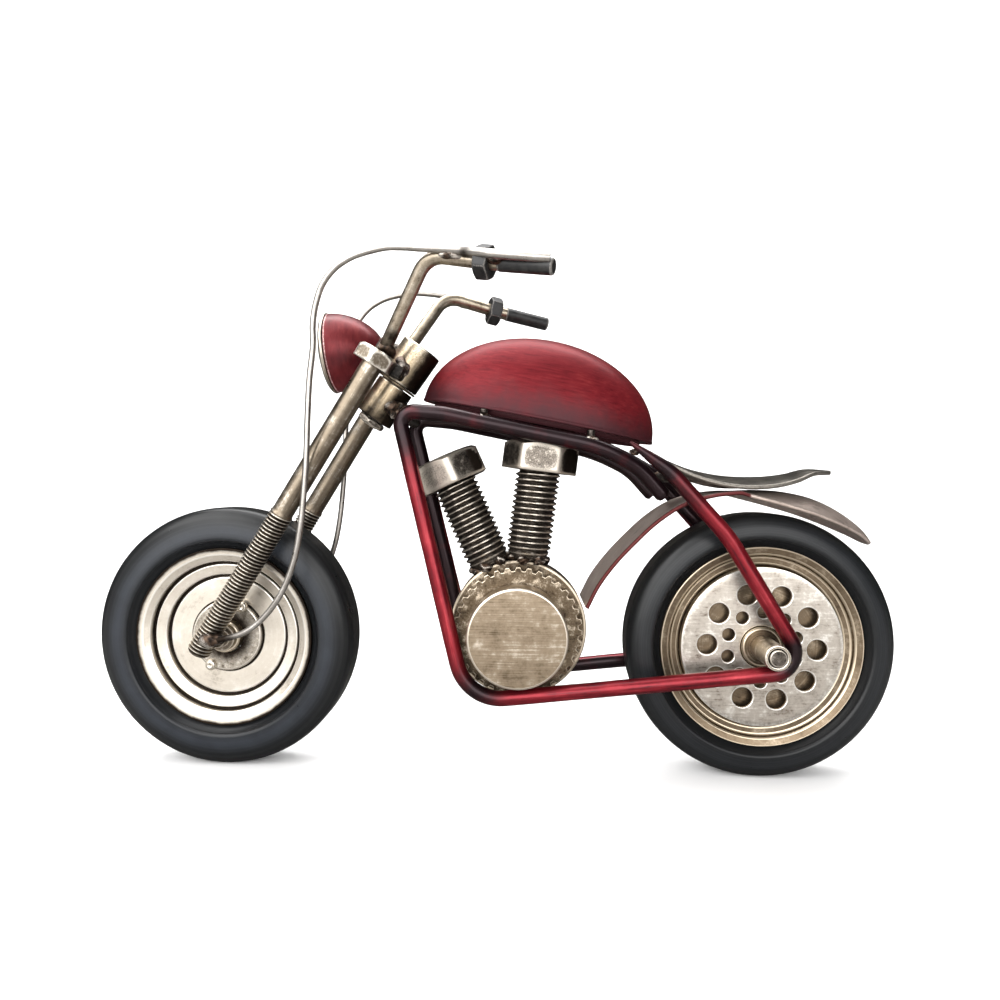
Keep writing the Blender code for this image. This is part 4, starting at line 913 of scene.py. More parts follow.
for side in SIDES:
    section = [(AXLE_REAR_RADIUS + 0.3, SPACER_IN), (SPACER_RADIUS, SPACER_IN), (SPACER_RADIUS, SPACER_OUT),
               (AXLE_REAR_RADIUS + 0.3, SPACER_OUT)]
    spacer = turned(section, REAR_AXLE, (0, side, 0), 72, 0.35, ring=True)
    spacer["burn_and_shade"] = 0.9 * near(spacer["points"], [(97.5, side * 18.0, 47, 4.0)])
    fit(closed_mesh(side_name("rear_spacer", side) + "_tube", **spacer), "frame", bright_tube,
        side_name("rear_spacer", side))

# ---------------------------------------------------------------- tyres
# Solid round-shouldered tyres, satin black with a bluish painted sheen on the sidewalls, a painted reflection.
# The running band is flat.
TREAD_HALF, TYRE_HALF = 3.6, 9.5
REAR_BEAD, FRONT_BEAD = 35.0, 32.2
RIDGE_HEIGHT, RIDGE_FOLD = 3.4, 1.4


def tyre_section(outer, bead):
    """One tyre's closed outline as (radius, width): a flat band, rounded shoulders, and sides down to the bead.

    From the band the width grows with the sine of an angle to the power 0.8 while the radius falls with its
    cosine to the ridge, where the side folds inwards in a tight arc.
    """
    ridge = bead + RIDGE_HEIGHT
    angle = np.linspace(0, pi / 2, 26)
    flank = np.column_stack((ridge + (outer - ridge) * np.cos(angle),
                             TREAD_HALF + (TYRE_HALF - TREAD_HALF) * np.sin(angle) ** 0.8))
    angle = np.linspace(0, radians(80), 8)[1:]
    fold = np.column_stack((ridge - RIDGE_FOLD * np.sin(angle), TYRE_HALF - RIDGE_FOLD * (1 - np.cos(angle))))
    half = np.vstack((flank, fold, [(bead - 0.35, TYRE_HALF - 2.9)]))
    return np.vstack((half, half[::-1] * (1, -1)))


def tyre_rings(centre, outer, bead, sheen_amount, columns=160):
    """The tyre's outline swept once round its axle, as rows round the wheel."""
    radius, width = tyre_section(outer, bead).T
    turn = np.linspace(0, 2 * pi, columns, endpoint=False)[:, None]
    points = np.stack((centre[0] + radius * np.cos(turn), centre[1] + width + 0 * turn,
                       centre[2] + radius * np.sin(turn)), -1)
    # Painted sheen: a bluish reflection on the sidewalls, kept in the wear value.
    painted_sheen = sheen_amount * np.exp(-((radius - bead - 5.6) / 2.8) ** 2) * (np.abs(width) > TREAD_HALF)
    return {"points": points, "wear_and_sheen": painted_sheen + 0 * turn, "burn_and_shade": 0.0, "lay": points - centre, "ring": True}


def tyre_black():
    """Satin black: fine scuffs that run round the wheel, and a grey-blue painted reflection on the sides."""
    material, tree, shader = new_material("tyre black")
    place = kept(tree, "lay")[0]
    split = add(tree, "ShaderNodeSeparateXYZ", {0: place})
    radius = maths(tree, "SQRT", maths(tree, "ADD", maths(tree, "MULTIPLY", split.outputs[0], split.outputs[0]),
                                       maths(tree, "MULTIPLY", split.outputs[2], split.outputs[2])))
    rounds = add(tree, "ShaderNodeCombineXYZ", {"X": radius, "Y": split.outputs[1]}).outputs[0]
    scuff = noise(tree, rounds, 1700.0, 3.0)
    cloud = noise(tree, place, 120.0, 4.0)
    # The painted sheen lightens the sides to a grey-blue.
    painted_sheen = maths(tree, "MULTIPLY", kept(tree, "wear_and_sheen")[1], maths(tree, "MULTIPLY_ADD", cloud, 0.8, 0.35))
    colour = blended(tree, steep(tree, scuff, 0.35, 0.75), (0.0055, 0.0058, 0.0062, 1),
                     (0.013, 0.0135, 0.014, 1))
    colour = blended(tree, maths(tree, "MULTIPLY", painted_sheen, 0.8, clamp=True), colour, (0.032, 0.037, 0.047, 1))
    tree.links.new(colour, shader.inputs["Base Color"])
    tree.links.new(maths(tree, "MULTIPLY_ADD", cloud, 0.18, 0.22), shader.inputs["Roughness"])
    bump = add(tree, "ShaderNodeBump", {"Height": scuff, "Distance": 0.00008, "Strength": 0.25})
    tree.links.new(bump.outputs["Normal"], shader.inputs["Normal"])
    shader.inputs["Specular IOR Level"].default_value = 0.28
    return material


TYRE_BLACK = tyre_black()
FRONT_AXLE = middle("front_tyre")
TYRE_OUTER = extent("rear_tyre")[2] / 2
# The last value in each row is how strong the painted sheen is on that tyre.
for node, centre, bead, sheen_amount in (("rear_tyre", REAR_AXLE, REAR_BEAD, 0.2),
                                  ("front_tyre", FRONT_AXLE, FRONT_BEAD, 0.9)):
    ring = closed_mesh(node + "_ring", **tyre_rings(centre, TYRE_OUTER, bead, sheen_amount))
    fit(ring, node.replace("tyre", "wheel"), TYRE_BLACK, node)

# ---------------------------------------------------------------- rear wheel
# Each side has a rim pressed in three steps, washed brown, and on it a bright disc with two rings of round
# holes whose lips are rubbed white. A hub tube joins the two sides.
rim_brown = worn_steel("rim brown bronze", (0.045, 0.030, 0.019), (0.180, 0.135, 0.090), (0.62, 0.52, 0.39),
                       (2200, 0, 2200), clouds=110.0, contrast=0.8, smooth=0.22, rough=0.42, lathe=True)
disc_steel = worn_steel("perforated disc", (0.17, 0.130, 0.10), (0.55, 0.500, 0.440), (0.92, 0.89, 0.83),
                        (120, 900, 1500), clouds=150.0, contrast=1.0, smooth=0.22, rough=0.42)
DISC_IN, DISC_OUT = 7.3, 8.5
HOLE_COUNT, HOLE_START = 10, radians(34.0)
RING_SPLIT = 14.75
# Each ring of holes fills one band of the disc: (band inside, band outside, ring radius, hole radius, start).
HOLE_BANDS = ((9.0, RING_SPLIT, 12.1, 2.45, HOLE_START + pi / HOLE_COUNT),
              (RING_SPLIT, 23.5, 18.7, 3.75, HOLE_START))
SECTOR = 2 * pi / HOLE_COUNT


def holed_sector(inside, outside, ring, hole, start):
    """One hole and the piece of band round it, as a grid from the hole's edge out to the sector's border.

    The border is walked once: inner arc, side, outer arc, side. From each border point a straight spoke
    runs to the hole's centre, and its points are spread from the hole's edge to the border.
    """
    arc = np.linspace(-SECTOR / 2, SECTOR / 2, 13)
    climb = np.linspace(inside, outside, 9)
    turn = np.concatenate((arc[:-1], np.full(8, SECTOR / 2), arc[:0:-1], np.full(8, -SECTOR / 2))) + start
    radius = np.concatenate((np.full(12, inside), climb[:-1], np.full(12, outside), climb[:0:-1]))
    border = np.column_stack((radius * np.cos(turn), radius * np.sin(turn)))
    centre = ring * np.array((cos(start), sin(start)))
    edge = centre + unit(border - centre) * hole
    t = np.array((0.0, 0.06, 0.13, 0.3, 0.6, 1.0))[:, None, None]
    grid = edge + (border - edge) * t
    return grid


def perforated_disc(name):
    """The disc as one skin, facing +Y from its own middle: sectors, hole walls, plain bands and both rims.

    Sectors and bands lie on both faces; hole walls and rims are profiles of (drawn-in radius, depth) that
    round over each lip. Neighbours share their edge points, which are merged.
    """
    vertices, wears, faces = [], [], []

    def patch(xy, depth, wear_and_sheen):
        """One grid of the skin, whose columns run right round; xy is rows x columns x 2."""
        rows, columns = xy.shape[:2]
        first = sum(map(len, vertices))
        level = np.broadcast_to(np.reshape(depth, (-1, 1, 1)), (rows, columns, 1))
        vertices.append(np.concatenate((xy[..., :1], level, xy[..., 1:]), -1).reshape(-1, 3))
        wears.append(np.broadcast_to(np.reshape(wear_and_sheen, (-1, 1)), (rows, columns)).ravel())
        row = np.arange(rows - 1)[:, None] * columns
        column = np.arange(columns)[None, :]
        beside = (column + 1) % columns
        quads = (row + column, row + beside, row + columns + beside, row + columns + column)
        faces.append(first + np.stack(quads, -1).reshape(-1, 4))

    half = (DISC_OUT - DISC_IN) / 2
    lip_in = np.array((0.0, 0.10, 0.22, 0.25, 0.25, 0.22, 0.10, 0.0))
    lip = np.array((0.0, 0.03, 0.12, 0.25))
    lip_depth = np.concatenate((lip, 2 * half - lip[::-1])) - half
    for inside, outside, ring, hole, start in HOLE_BANDS:
        for turn in start + SECTOR * np.arange(HOLE_COUNT):
            grid = holed_sector(inside, outside, ring, hole, turn)
            centre = ring * np.array((cos(turn), sin(turn)))
            patch(centre + unit(grid[0] - centre) * (hole - lip_in)[:, None, None], lip_depth,
                  (1, 1, 0.9, 0.3, 0.3, 0.9, 1, 1))
            for level in (-half, half):
                patch(grid, np.full(len(grid), level), (1.0, 0.8, 0.1, 0, 0, 0))
    turn = HOLE_START + SECTOR / 12 * np.arange(12 * HOLE_COUNT)
    spokes = np.column_stack((np.cos(turn), np.sin(turn)))[None]
    for radii, depth, wear_and_sheen in (
            ((23.5, 25.5, 27.2, 27.5, 27.6, 27.6, 27.5, 27.2, 25.5, 23.5),
             (0, 0, 0, 0.08, 0.3, 2 * half - 0.3, 2 * half - 0.08, 2 * half, 2 * half, 2 * half),
             (0, 0, 0.6, 1, 1, 1, 1, 0.6, 0, 0)),
            ((9.0, 8.0, 7.7, 7.4, 7.4, 7.7, 8.0, 9.0),
             (0, 0, 0, 0.3, 2 * half - 0.3, 2 * half, 2 * half, 2 * half), (0, 0, 0.6, 1, 1, 0.6, 0, 0))):
        patch(spokes * np.reshape(radii, (-1, 1, 1)), np.array(depth) - half, wear_and_sheen)
    mesh = bpy.data.meshes.new(name)
    mesh.from_pydata((np.vstack(vertices) * MM).tolist(), [], np.vstack(faces).tolist())
    wear_and_sheen = np.concatenate(wears)
    keep_values(mesh, np.vstack(vertices), wear_and_sheen, np.zeros(len(wear_and_sheen)))
    skin = bmesh.new()
    skin.from_mesh(mesh)
    bmesh.ops.remove_doubles(skin, verts=skin.verts, dist=0.002 * MM)
    bmesh.ops.recalc_face_normals(skin, faces=skin.faces)
    skin.to_mesh(mesh)
    skin.free()
    mesh.shade_smooth()
    mesh.set_sharp_from_angle(angle=radians(40))
    return mesh


REAR_RIM = [(8.0, 4.6), (27.2, 4.6), (28.6, 6.2), (31.0, 6.4), (31.9, 7.8), (34.6, 8.6), (34.6, 0.2),
            (32.4, 0.2), (29.0, 3.4), (8.0, 3.4)]
REAR_HUB = [(3.1, -8.8), (6.4, -8.8), (7.0, -8.2), (7.0, 8.2), (6.4, 8.8), (3.1, 8.8)]
for side in SIDES:
    rim = turned(REAR_RIM, REAR_AXLE, (0, side, 0), 160, 0.45, ring=True)
    fit(closed_mesh(side_name("rear_rim", side) + "_pressing", **rim), "rear_wheel", rim_brown,
        side_name("rear_rim", side))
    disc = perforated_disc(side_name("rear_disc", side) + "_plate")
    disc.transform(Matrix.Translation(((REAR_AXLE + (0, side * (DISC_IN + DISC_OUT) / 2, 0)) * MM).tolist()))
    fit(disc, "rear_wheel", disc_steel, side_name("rear_disc", side))
hub = turned(REAR_HUB, REAR_AXLE, (0, 1, 0), 72, 0.3, ring=True)
fit(closed_mesh("rear_hub_sleeve", **hub), "rear_wheel", rim_brown, "rear_hub")

# ---------------------------------------------------------------- front wheel
# Narrower, with a dished champagne disc on each side, stepped at the rim and creased by two grooves, which are
# painted dark as shade. A flange is riveted to each disc round the hub tube.
FRONT_RIM = [(6.2, 3.1), (12.4, 3.27), (12.8, 3.28), (13.2, 3.29), (13.6, 3.3), (20.9, 3.5), (21.2, 2.9),
             (21.9, 2.9), (22.2, 4.6), (25.8, 5.2), (26.1, 4.5), (26.8, 4.5), (27.1, 6.6), (29.5, 7.6),
             (31.8, 7.9), (31.8, 0.2), (29.6, 0.2), (26.0, 3.0), (21.6, 1.6), (6.2, 1.6)]
FLANGE = [(6.2, 3.6), (12.6, 3.75), (12.6, 4.6), (12.2, 4.9), (6.2, 4.9)]
FRONT_HUB = [(3.0, -7.4), (5.2, -7.4), (5.7, -6.9), (5.7, 6.9), (5.2, 7.4), (3.0, 7.4)]
RIVET = [(0.01, -0.4), (2.0, -0.4), (1.95, 0.5), (1.5, 1.0), (0.8, 1.15), (0.55, 0.85), (0.01, 0.75)]
# Painted shade fills the two creases, the corner round the flange and the gap under the tyre: (radius, half
# width).
SHADE_RINGS = ((21.6, 0.50), (26.5, 0.50), (12.9, 0.45), (31.6, 0.5))
RIVET_RING, RIVET_TURNS = 12.0, (radians(62.0), radians(242.0))
champagne = worn_steel("champagne disc", (0.30, 0.245, 0.18), (0.74, 0.68, 0.59), (0.92, 0.88, 0.81),
                       (700, 0, 700), clouds=140.0, contrast=0.75, smooth=0.24, rough=0.42, lathe=True)
mottled = worn_steel("mottled flange", (0.10, 0.083, 0.062), (0.42, 0.375, 0.315), (0.80, 0.75, 0.67),
                     (700, 700, 700), clouds=420.0, contrast=1.3, smooth=0.24, rough=0.46)
for side in SIDES:
    out = (0, side, 0)
    rim = turned(FRONT_RIM, FRONT_AXLE, out, 160, 0.3, ring=True)
    radius = np.linalg.norm(rim["lay"][..., :2], axis=-1)
    rim["burn_and_shade"] = sum(np.exp(-((radius - ring) / width) ** 4) for ring, width in SHADE_RINGS)
    rim["wear_and_sheen"] = rim["wear_and_sheen"] * (rim["burn_and_shade"] < 0.2)
    fit(closed_mesh(side_name("front_rim", side) + "_dish", **rim), "front_wheel", champagne,
        side_name("front_rim", side))
    flange = turned(FLANGE, FRONT_AXLE, out, 120, 0.25, ring=True)
    # The flange darkens towards the hub tube.
    flange["burn_and_shade"] = np.exp(-((np.linalg.norm(flange["lay"][..., :2], axis=-1) - 7.0) / 1.6) ** 2)
    fit(closed_mesh(side_name("front_flange", side) + "_ring", **flange), "front_wheel", mottled,
        side_name("front_flange", side))
    for number, turn in enumerate(RIVET_TURNS, 1):
        at = FRONT_AXLE + (RIVET_RING * cos(turn), side * 5.2, RIVET_RING * sin(turn))
        node = side_name("front_rivet_%d" % number, side)
        fit(closed_mesh(node + "_head", **turned(RIVET, at, out, 40, 0.25)), "front_wheel",
            bright_tube, node)
hub = turned(FRONT_HUB, FRONT_AXLE, (0, 1, 0), 72, 0.3, ring=True)
fit(closed_mesh("front_hub_sleeve", **hub), "front_wheel", bronze, "front_hub")

# ---------------------------------------------------------------- front axle
# A plain rod between the fork's legs, with a turned collar outside each flange, welded to both legs.
AXLE_HALF = [(4.6, 9.4), (2.7, 9.4), (2.7, 12.9), (0.01, 12.9)]
AXLE_MIDDLE = [(4.6, -7.9), (2.7, -7.9), (2.7, 7.9), (4.6, 7.9)]
axle_profile = [(r, -y) for r, y in reversed(AXLE_HALF)] + AXLE_MIDDLE + AXLE_HALF
collar_bronze = worn_steel("collar bronze", (0.040, 0.030, 0.022), (0.20, 0.165, 0.125), (0.66, 0.59, 0.50),
                           (1800, 0, 1800), clouds=300.0, contrast=1.2, smooth=0.24, rough=0.46, lathe=True)
axle = turned(axle_profile, FRONT_AXLE, (0, 1, 0), 64, 0.3)
fit(closed_mesh("front_axle_rod", **axle), "fork", collar_bronze, "front_axle")

# ---------------------------------------------------------------- fork: boss, washer, stem and nut
# The fork's boss is a solid round cap on the head axis. The stem pressed into it runs down through the head
# tube and ends in a small hex nut, and a thin bright washer closes the joint. Painted shade darkens the rear
# side of the boss and the whole washer.
BOSS_RADIUS, BOSS_LOW, BOSS_HIGH = 7.5, 0.7, 16.0
STEM_RADIUS, STEM_LOW, STEM_HIGH = 3.0, -17.6, 12.0
boss_profile = [(0.01, STEM_HIGH + 0.3), (BORE, STEM_HIGH + 0.3), (BORE, BOSS_LOW), (BOSS_RADIUS, BOSS_LOW),
                (BOSS_RADIUS, BOSS_HIGH), (0.01, BOSS_HIGH)]
boss = turned(boss_profile, HEAD_POINT, HEAD_AXIS, 96, 0.7)
# Painted shade: the rear side of the boss is darkened.
boss["burn_and_shade"] = 0.9 * np.clip(-1.9 * boss["lay"][..., 0] / BOSS_RADIUS - 0.35, 0, 1)
boss["wear_and_sheen"] = np.maximum(boss["wear_and_sheen"], 0.7 * np.clip((boss["lay"][..., 2] - BOSS_HIGH + 2.2) / 2.0, 0, 1))
fit(closed_mesh("steering_boss_cap", **boss), "fork", bronze, "steering_boss")
washer = turned([(BORE, -0.2), (BOSS_RADIUS, -0.2), (BOSS_RADIUS, 0.6), (BORE, 0.6)], HEAD_POINT, HEAD_AXIS, 80,
                0.25, ring=True)
# Painted shade: the washer, in its gap between boss and head tube, is darkened all over.
washer["wear_and_sheen"], washer["burn_and_shade"] = 0.3 * washer["wear_and_sheen"], 0.55
fit(closed_mesh("steering_washer_ring", **washer), "fork", bronze, "steering_washer")
stem = turned([(0.01, STEM_LOW), (STEM_RADIUS, STEM_LOW), (STEM_RADIUS, STEM_HIGH), (0.01, STEM_HIGH)],
              HEAD_POINT, HEAD_AXIS, 48, 0.4)
fit(closed_mesh("steering_stem_pin", **stem), "fork", bolt_steel, "steering_stem")


def hex_ring(low, high, flat, bore, chamfer):
    """Rows of a hex nut: its bore, one face, the flats with both ends chamfered, and the other face.

    Each end's chamfer falls with the excess of the hexagon's radius over the flat. Closed on itself.
    """
    angle = np.linspace(0, 2 * pi, HEX_COLUMNS, endpoint=False)[None, :]
    across = flat * hexagon(angle)
    excess = (across - 0.94 * flat) * chamfer
    turn = (angle + pi / 6) % (pi / 3) - pi / 6
    middle_wear = (np.abs(turn) / (pi / 6)) ** 5
    level = np.zeros_like(angle)
    rows = [(level + bore, level + low, level), (level + 0.94 * flat, level + low, level + 0.5),
            (across - 0.1, low + excess * 0.9, level + 1), (across, low + excess + 0.15, level + 0.8),
            (across, low + excess + 0.5, middle_wear), (across, high - excess - 0.5, middle_wear),
            (across, high - excess - 0.15, level + 0.8), (across - 0.1, high - excess * 0.9, level + 1),
            (level + 0.94 * flat, level + high, level + 0.5), (level + bore, level + high, level)]
    return tuple(np.vstack(part) for part in zip(*rows))


nut = on_axis([hex_ring(-17.2, -15.0, 4.7, STEM_RADIUS + 0.3, 0.6)], HEAD_POINT, HEAD_AXIS)
fit(closed_mesh("stem_nut_ring", ring=True, **nut), "fork", bolt_steel, "stem_nut")

# ---------------------------------------------------------------- fork legs and crown arms
# Each leg is a long M8 hex bolt, head up, threaded over its lower half, bronze-washed. A short black arm
# welded across the back of its head joins it to the boss.
LEG_TOP, LEG_BOTTOM = np.array((-38.0, 17.0, 143.5)), np.array((-99.3, 17.0, 42.8))
LEG_CREST, LEG_DEPTH, LEG_PITCH, LEG_THREAD, LEG_SHANK = 4.0, 0.62, 1.25, 56.0, 3.65
LEG_FLAT, LEG_HEAD = 6.5, 5.3
leg_axis = unit(LEG_TOP - LEG_BOTTOM)
leg_length = np.linalg.norm(LEG_TOP - LEG_BOTTOM)
leg_bronze = worn_steel("leg bronze", (0.050, 0.036, 0.024), (0.21, 0.172, 0.128), (0.84, 0.79, 0.70),
                        (1300, 1300, 30), clouds=150.0, contrast=0.7, smooth=0.20, rough=0.44)
arm_black = worn_steel("arm black", (0.008, 0.007, 0.007), (0.022, 0.020, 0.018), (0.20, 0.18, 0.16),
                       (600, 600, 600), clouds=320.0, contrast=1.1, smooth=0.28, rough=0.58, bump=0.7)
ARM_IN, ARM_OUT, ARM_BEHIND, ARM_DEPTH, ARM_HEIGHT = 3.6, 14.4, 5.2, 4.0, 2.4
behind_leg = np.array((leg_axis[2], 0.0, -leg_axis[0]))
for side in SIDES:
    flip = np.array((1.0, side, 1.0))
    low, high = leg_length - LEG_HEAD / 2, leg_length + LEG_HEAD / 2
    thread = thread_rows(0.0, LEG_THREAD, LEG_CREST, LEG_DEPTH, LEG_PITCH)
    ground = LEG_CREST - 0.8 * np.clip(1 - thread[1] / 1.0, 0, 1)
    thread = (np.minimum(thread[0], ground), thread[1], thread[2])
    plain = [(LEG_SHANK, s) for s in np.linspace(LEG_THREAD + 1.2, low - 0.3, 24)]
    shank = plain_rows([(LEG_CREST, LEG_THREAD + 0.1), (LEG_SHANK + 0.12, LEG_THREAD + 0.5), *plain,
                        (LEG_SHANK, low)])
    rows = [plain_rows([(0.02, 0), (LEG_CREST - 1.0, 0)]), thread, shank,
            head_rows(low, high, LEG_FLAT, LEG_SHANK, 0.85)]
    leg = on_axis(rows, LEG_BOTTOM * flip, leg_axis)
    depth = LEG_CREST - np.linalg.norm(leg["lay"][..., :2], axis=-1)
    valley = (0.30 + 0.45 * np.clip(depth / LEG_DEPTH, 0, 1)) * (leg["lay"][..., 2] < LEG_THREAD)
    # Painted shade darkens the inner side of each leg, facing the bike's middle; the thread is darker, most in
    # its valleys.
    inner = np.clip(side * (LEG_BOTTOM[1] * side - leg["points"][..., 1]) / LEG_SHANK, 0, 1)
    valley_and_shade = np.maximum(valley, 0.42 * inner * (leg["lay"][..., 2] < leg_length - LEG_HEAD / 2))
    burns = np.array([(-94.5, 13.5, 46, 5.5), (-90, 20, 49, 4), (-34, 13.5, 139, 4.5)]) * (1, side, 1, 1)
    leg["burn_and_shade"] = np.maximum(valley_and_shade, near(leg["points"], burns))
    fit(closed_mesh(side_name("fork_leg", side) + "_bolt", **leg), "fork", leg_bronze,
        side_name("fork_leg", side))
    turn = np.linspace(0, 2 * pi, 48, endpoint=False)[None, :]
    y = np.concatenate(([ARM_IN] * 2, np.linspace(ARM_IN + 0.4, ARM_OUT - 0.4, 20), [ARM_OUT] * 2))[:, None]
    shrink = np.concatenate(([0.3, 0.85], np.ones(20), [0.85, 0.3]))[:, None]
    shrink = shrink * (1 + 0.04 * np.sin(1.1 * y + 2 * turn))
    depth = ARM_DEPTH * shrink * np.sign(np.cos(turn)) * np.abs(np.cos(turn)) ** 0.4
    height = ARM_HEIGHT * shrink * np.sign(np.sin(turn)) * np.abs(np.sin(turn)) ** 0.4
    centre = LEG_TOP * (1, 0, 1) + behind_leg * ARM_BEHIND
    outward = (side * y)[..., None] * (0, 1.0, 0)
    points = centre + depth[..., None] * behind_leg + height[..., None] * leg_axis + outward
    wear_and_sheen = 0.55 * (np.abs(np.sin(2 * turn)) > 0.97) + 0 * y
    lay = np.stack(np.broadcast_arrays(depth, height, y), -1)
    node = side_name("crown_arm", side)
    fit(closed_mesh(node + "_bar", points, wear_and_sheen, lay=lay), "fork", arm_black, node)

# ---------------------------------------------------------------- headlamp
# A pressed bullet shell in red lacquer, a turned bronze bezel round its mouth and a domed front of plain
# metal. A stud at its back screws it to the boss.
LAMP_FRONT, LAMP_TILT = np.array((-57.0, 0, 148.2)), radians(5.8)
LAMP_RADIUS, LAMP_DEPTH, LAMP_WALL = 14.0, 18.6, 1.1
lamp_axis = np.array((cos(LAMP_TILT), 0.0, sin(LAMP_TILT)))


def bullet(inset, count):
    """The shell's outline, rim to back: its radius times (1 - s^1.8)^(1/1.8) at the share s of its depth."""
    s = np.sin(np.linspace(0, 1, count) * 1.42) / sin(1.42) * 0.985
    return [((LAMP_RADIUS - inset) * (1 - a ** 1.8) ** (1 / 1.8), a * (LAMP_DEPTH - inset)) for a in s]


lamp_red = red_lacquer("lamp red lacquer", (160, 160, 700), (0.065, 0.008, 0.010, 1), (0.125, 0.015, 0.018, 1),
                       (0.20, 0.032, 0.032, 1), burnt_and_shade=(0.030, 0.007, 0.010, 1),
                       smooth=0.28, metallic=0.45, glaze=0.08, shine=0.2)
shell_outline = bullet(LAMP_WALL, 20)[::-1] + bullet(0.0, 60)
shell = turned(shell_outline, LAMP_FRONT, lamp_axis, 120, 0.05)
across_lamp = shell["lay"][..., 0] / LAMP_RADIUS
shell["wear_and_sheen"] = np.exp(-((shell["lay"][..., 2] - 0.3) / 0.35) ** 2)
# A band just below the middle of the shell is darker.
shell["burn_and_shade"] = 0.45 * np.exp(-((across_lamp + 0.35) / 0.3) ** 2)
fit(closed_mesh("headlight_bullet", **shell), "fork", lamp_red, "headlight_shell")
BEZEL = [(12.0, -0.3), (14.3, -0.3), (14.3, -1.2), (13.2, -2.0), (12.0, -2.0)]
bezel = turned(BEZEL, LAMP_FRONT, lamp_axis, 128, 0.35, ring=True)
fit(closed_mesh("headlight_bezel_ring", **bezel), "fork", collar_bronze, "headlight_bezel")
LENS_RADIUS, LENS_BULGE = 11.7, 3.4
dome = [(LENS_RADIUS * sin(a) + 0.01, -1.0 - LENS_BULGE * cos(a)) for a in np.linspace(0, pi / 2, 30)]
lens_bronze = worn_steel("lamp front metal", (0.09, 0.07, 0.05), (0.30, 0.25, 0.19), (0.62, 0.55, 0.45),
                         (260, 260, 260), clouds=160.0, contrast=0.7, smooth=0.14, rough=0.32)
lens = turned(dome + [(LENS_RADIUS, -0.4), (0.01, -0.4)], LAMP_FRONT, lamp_axis, 112, 0.05)
lens["wear_and_sheen"] = 0.3 * lens["wear_and_sheen"]
fit(closed_mesh("headlight_front_dome", **lens), "fork", lens_bronze, "headlight_lens")
stud_start = LAMP_FRONT + lamp_axis * (LAMP_DEPTH * 0.93)
STUD_RADIUS, STUD_HEIGHT = 2.2, 10.6
before_boss = np.array((-HEAD_AXIS[2], 0, HEAD_AXIS[0]))
stud_end = HEAD_POINT + HEAD_AXIS * STUD_HEIGHT + before_boss * (BOSS_RADIUS - 1.0)
stud_length = np.linalg.norm(stud_end - stud_start)
stud = turned([(0.01, 0), (STUD_RADIUS, 0), (STUD_RADIUS, stud_length), (0.01, stud_length)], stud_start,
              stud_end - stud_start, 40, 0.3)
fit(closed_mesh("headlight_stud_pin", **stud), "fork", torch_steel, "headlight_stud")

# ---------------------------------------------------------------- handlebars, nuts and grips
# Each bar is a bronze-washed rod that rises from the boss, turns sharply and sweeps back. A small black hex
# nut sits just before the black round grip on its end.
BAR_RADIUS, GRIP_RADIUS, GRIP_GAP = 2.35, 2.6, 0.3
BAR_CORNERS = [(-36.0, 13.2, 147.0), (-19.6, 24.9, 175.2, 9.0), (0.0, 31.2, 170.8, 70.0), (3.4, 32.3, 170.2)]
GRIP_END = np.array((20.7, 38.0, 167.2))
NUT_BACK, NUT_HALF, NUT_FLAT = 4.4, 2.4, 5.0


def black_enamel():
    """Black enamel, brushed on thick: satin, slightly lumpy, thinned to grey where wear is 1."""
    material, tree, shader = new_material("black enamel")
    place = add(tree, "ShaderNodeTexCoord").outputs["Object"]
    lumps = noise(tree, place, 420.0, 3.0)
    grit = noise(tree, place, 1900.0, 2.0)
    worn = maths(tree, "MULTIPLY_ADD", maths(tree, "SUBTRACT", grit, 0.5), 1.2, kept(tree, "wear_and_sheen")[1])
    colour = blended(tree, steep(tree, lumps, 0.35, 0.7), (0.005, 0.005, 0.0055, 1), (0.016, 0.015, 0.014, 1))
    colour = blended(tree, steep(tree, worn, 0.6, 1.1), colour, (0.12, 0.11, 0.10, 1))
    tree.links.new(colour, shader.inputs["Base Color"])
    tree.links.new(maths(tree, "MULTIPLY_ADD", lumps, 0.3, 0.30), shader.inputs["Roughness"])
    bump = add(tree, "ShaderNodeBump", {"Height": lumps, "Distance": 0.00025, "Strength": 0.5})
    tree.links.new(bump.outputs["Normal"], shader.inputs["Normal"])
    return material


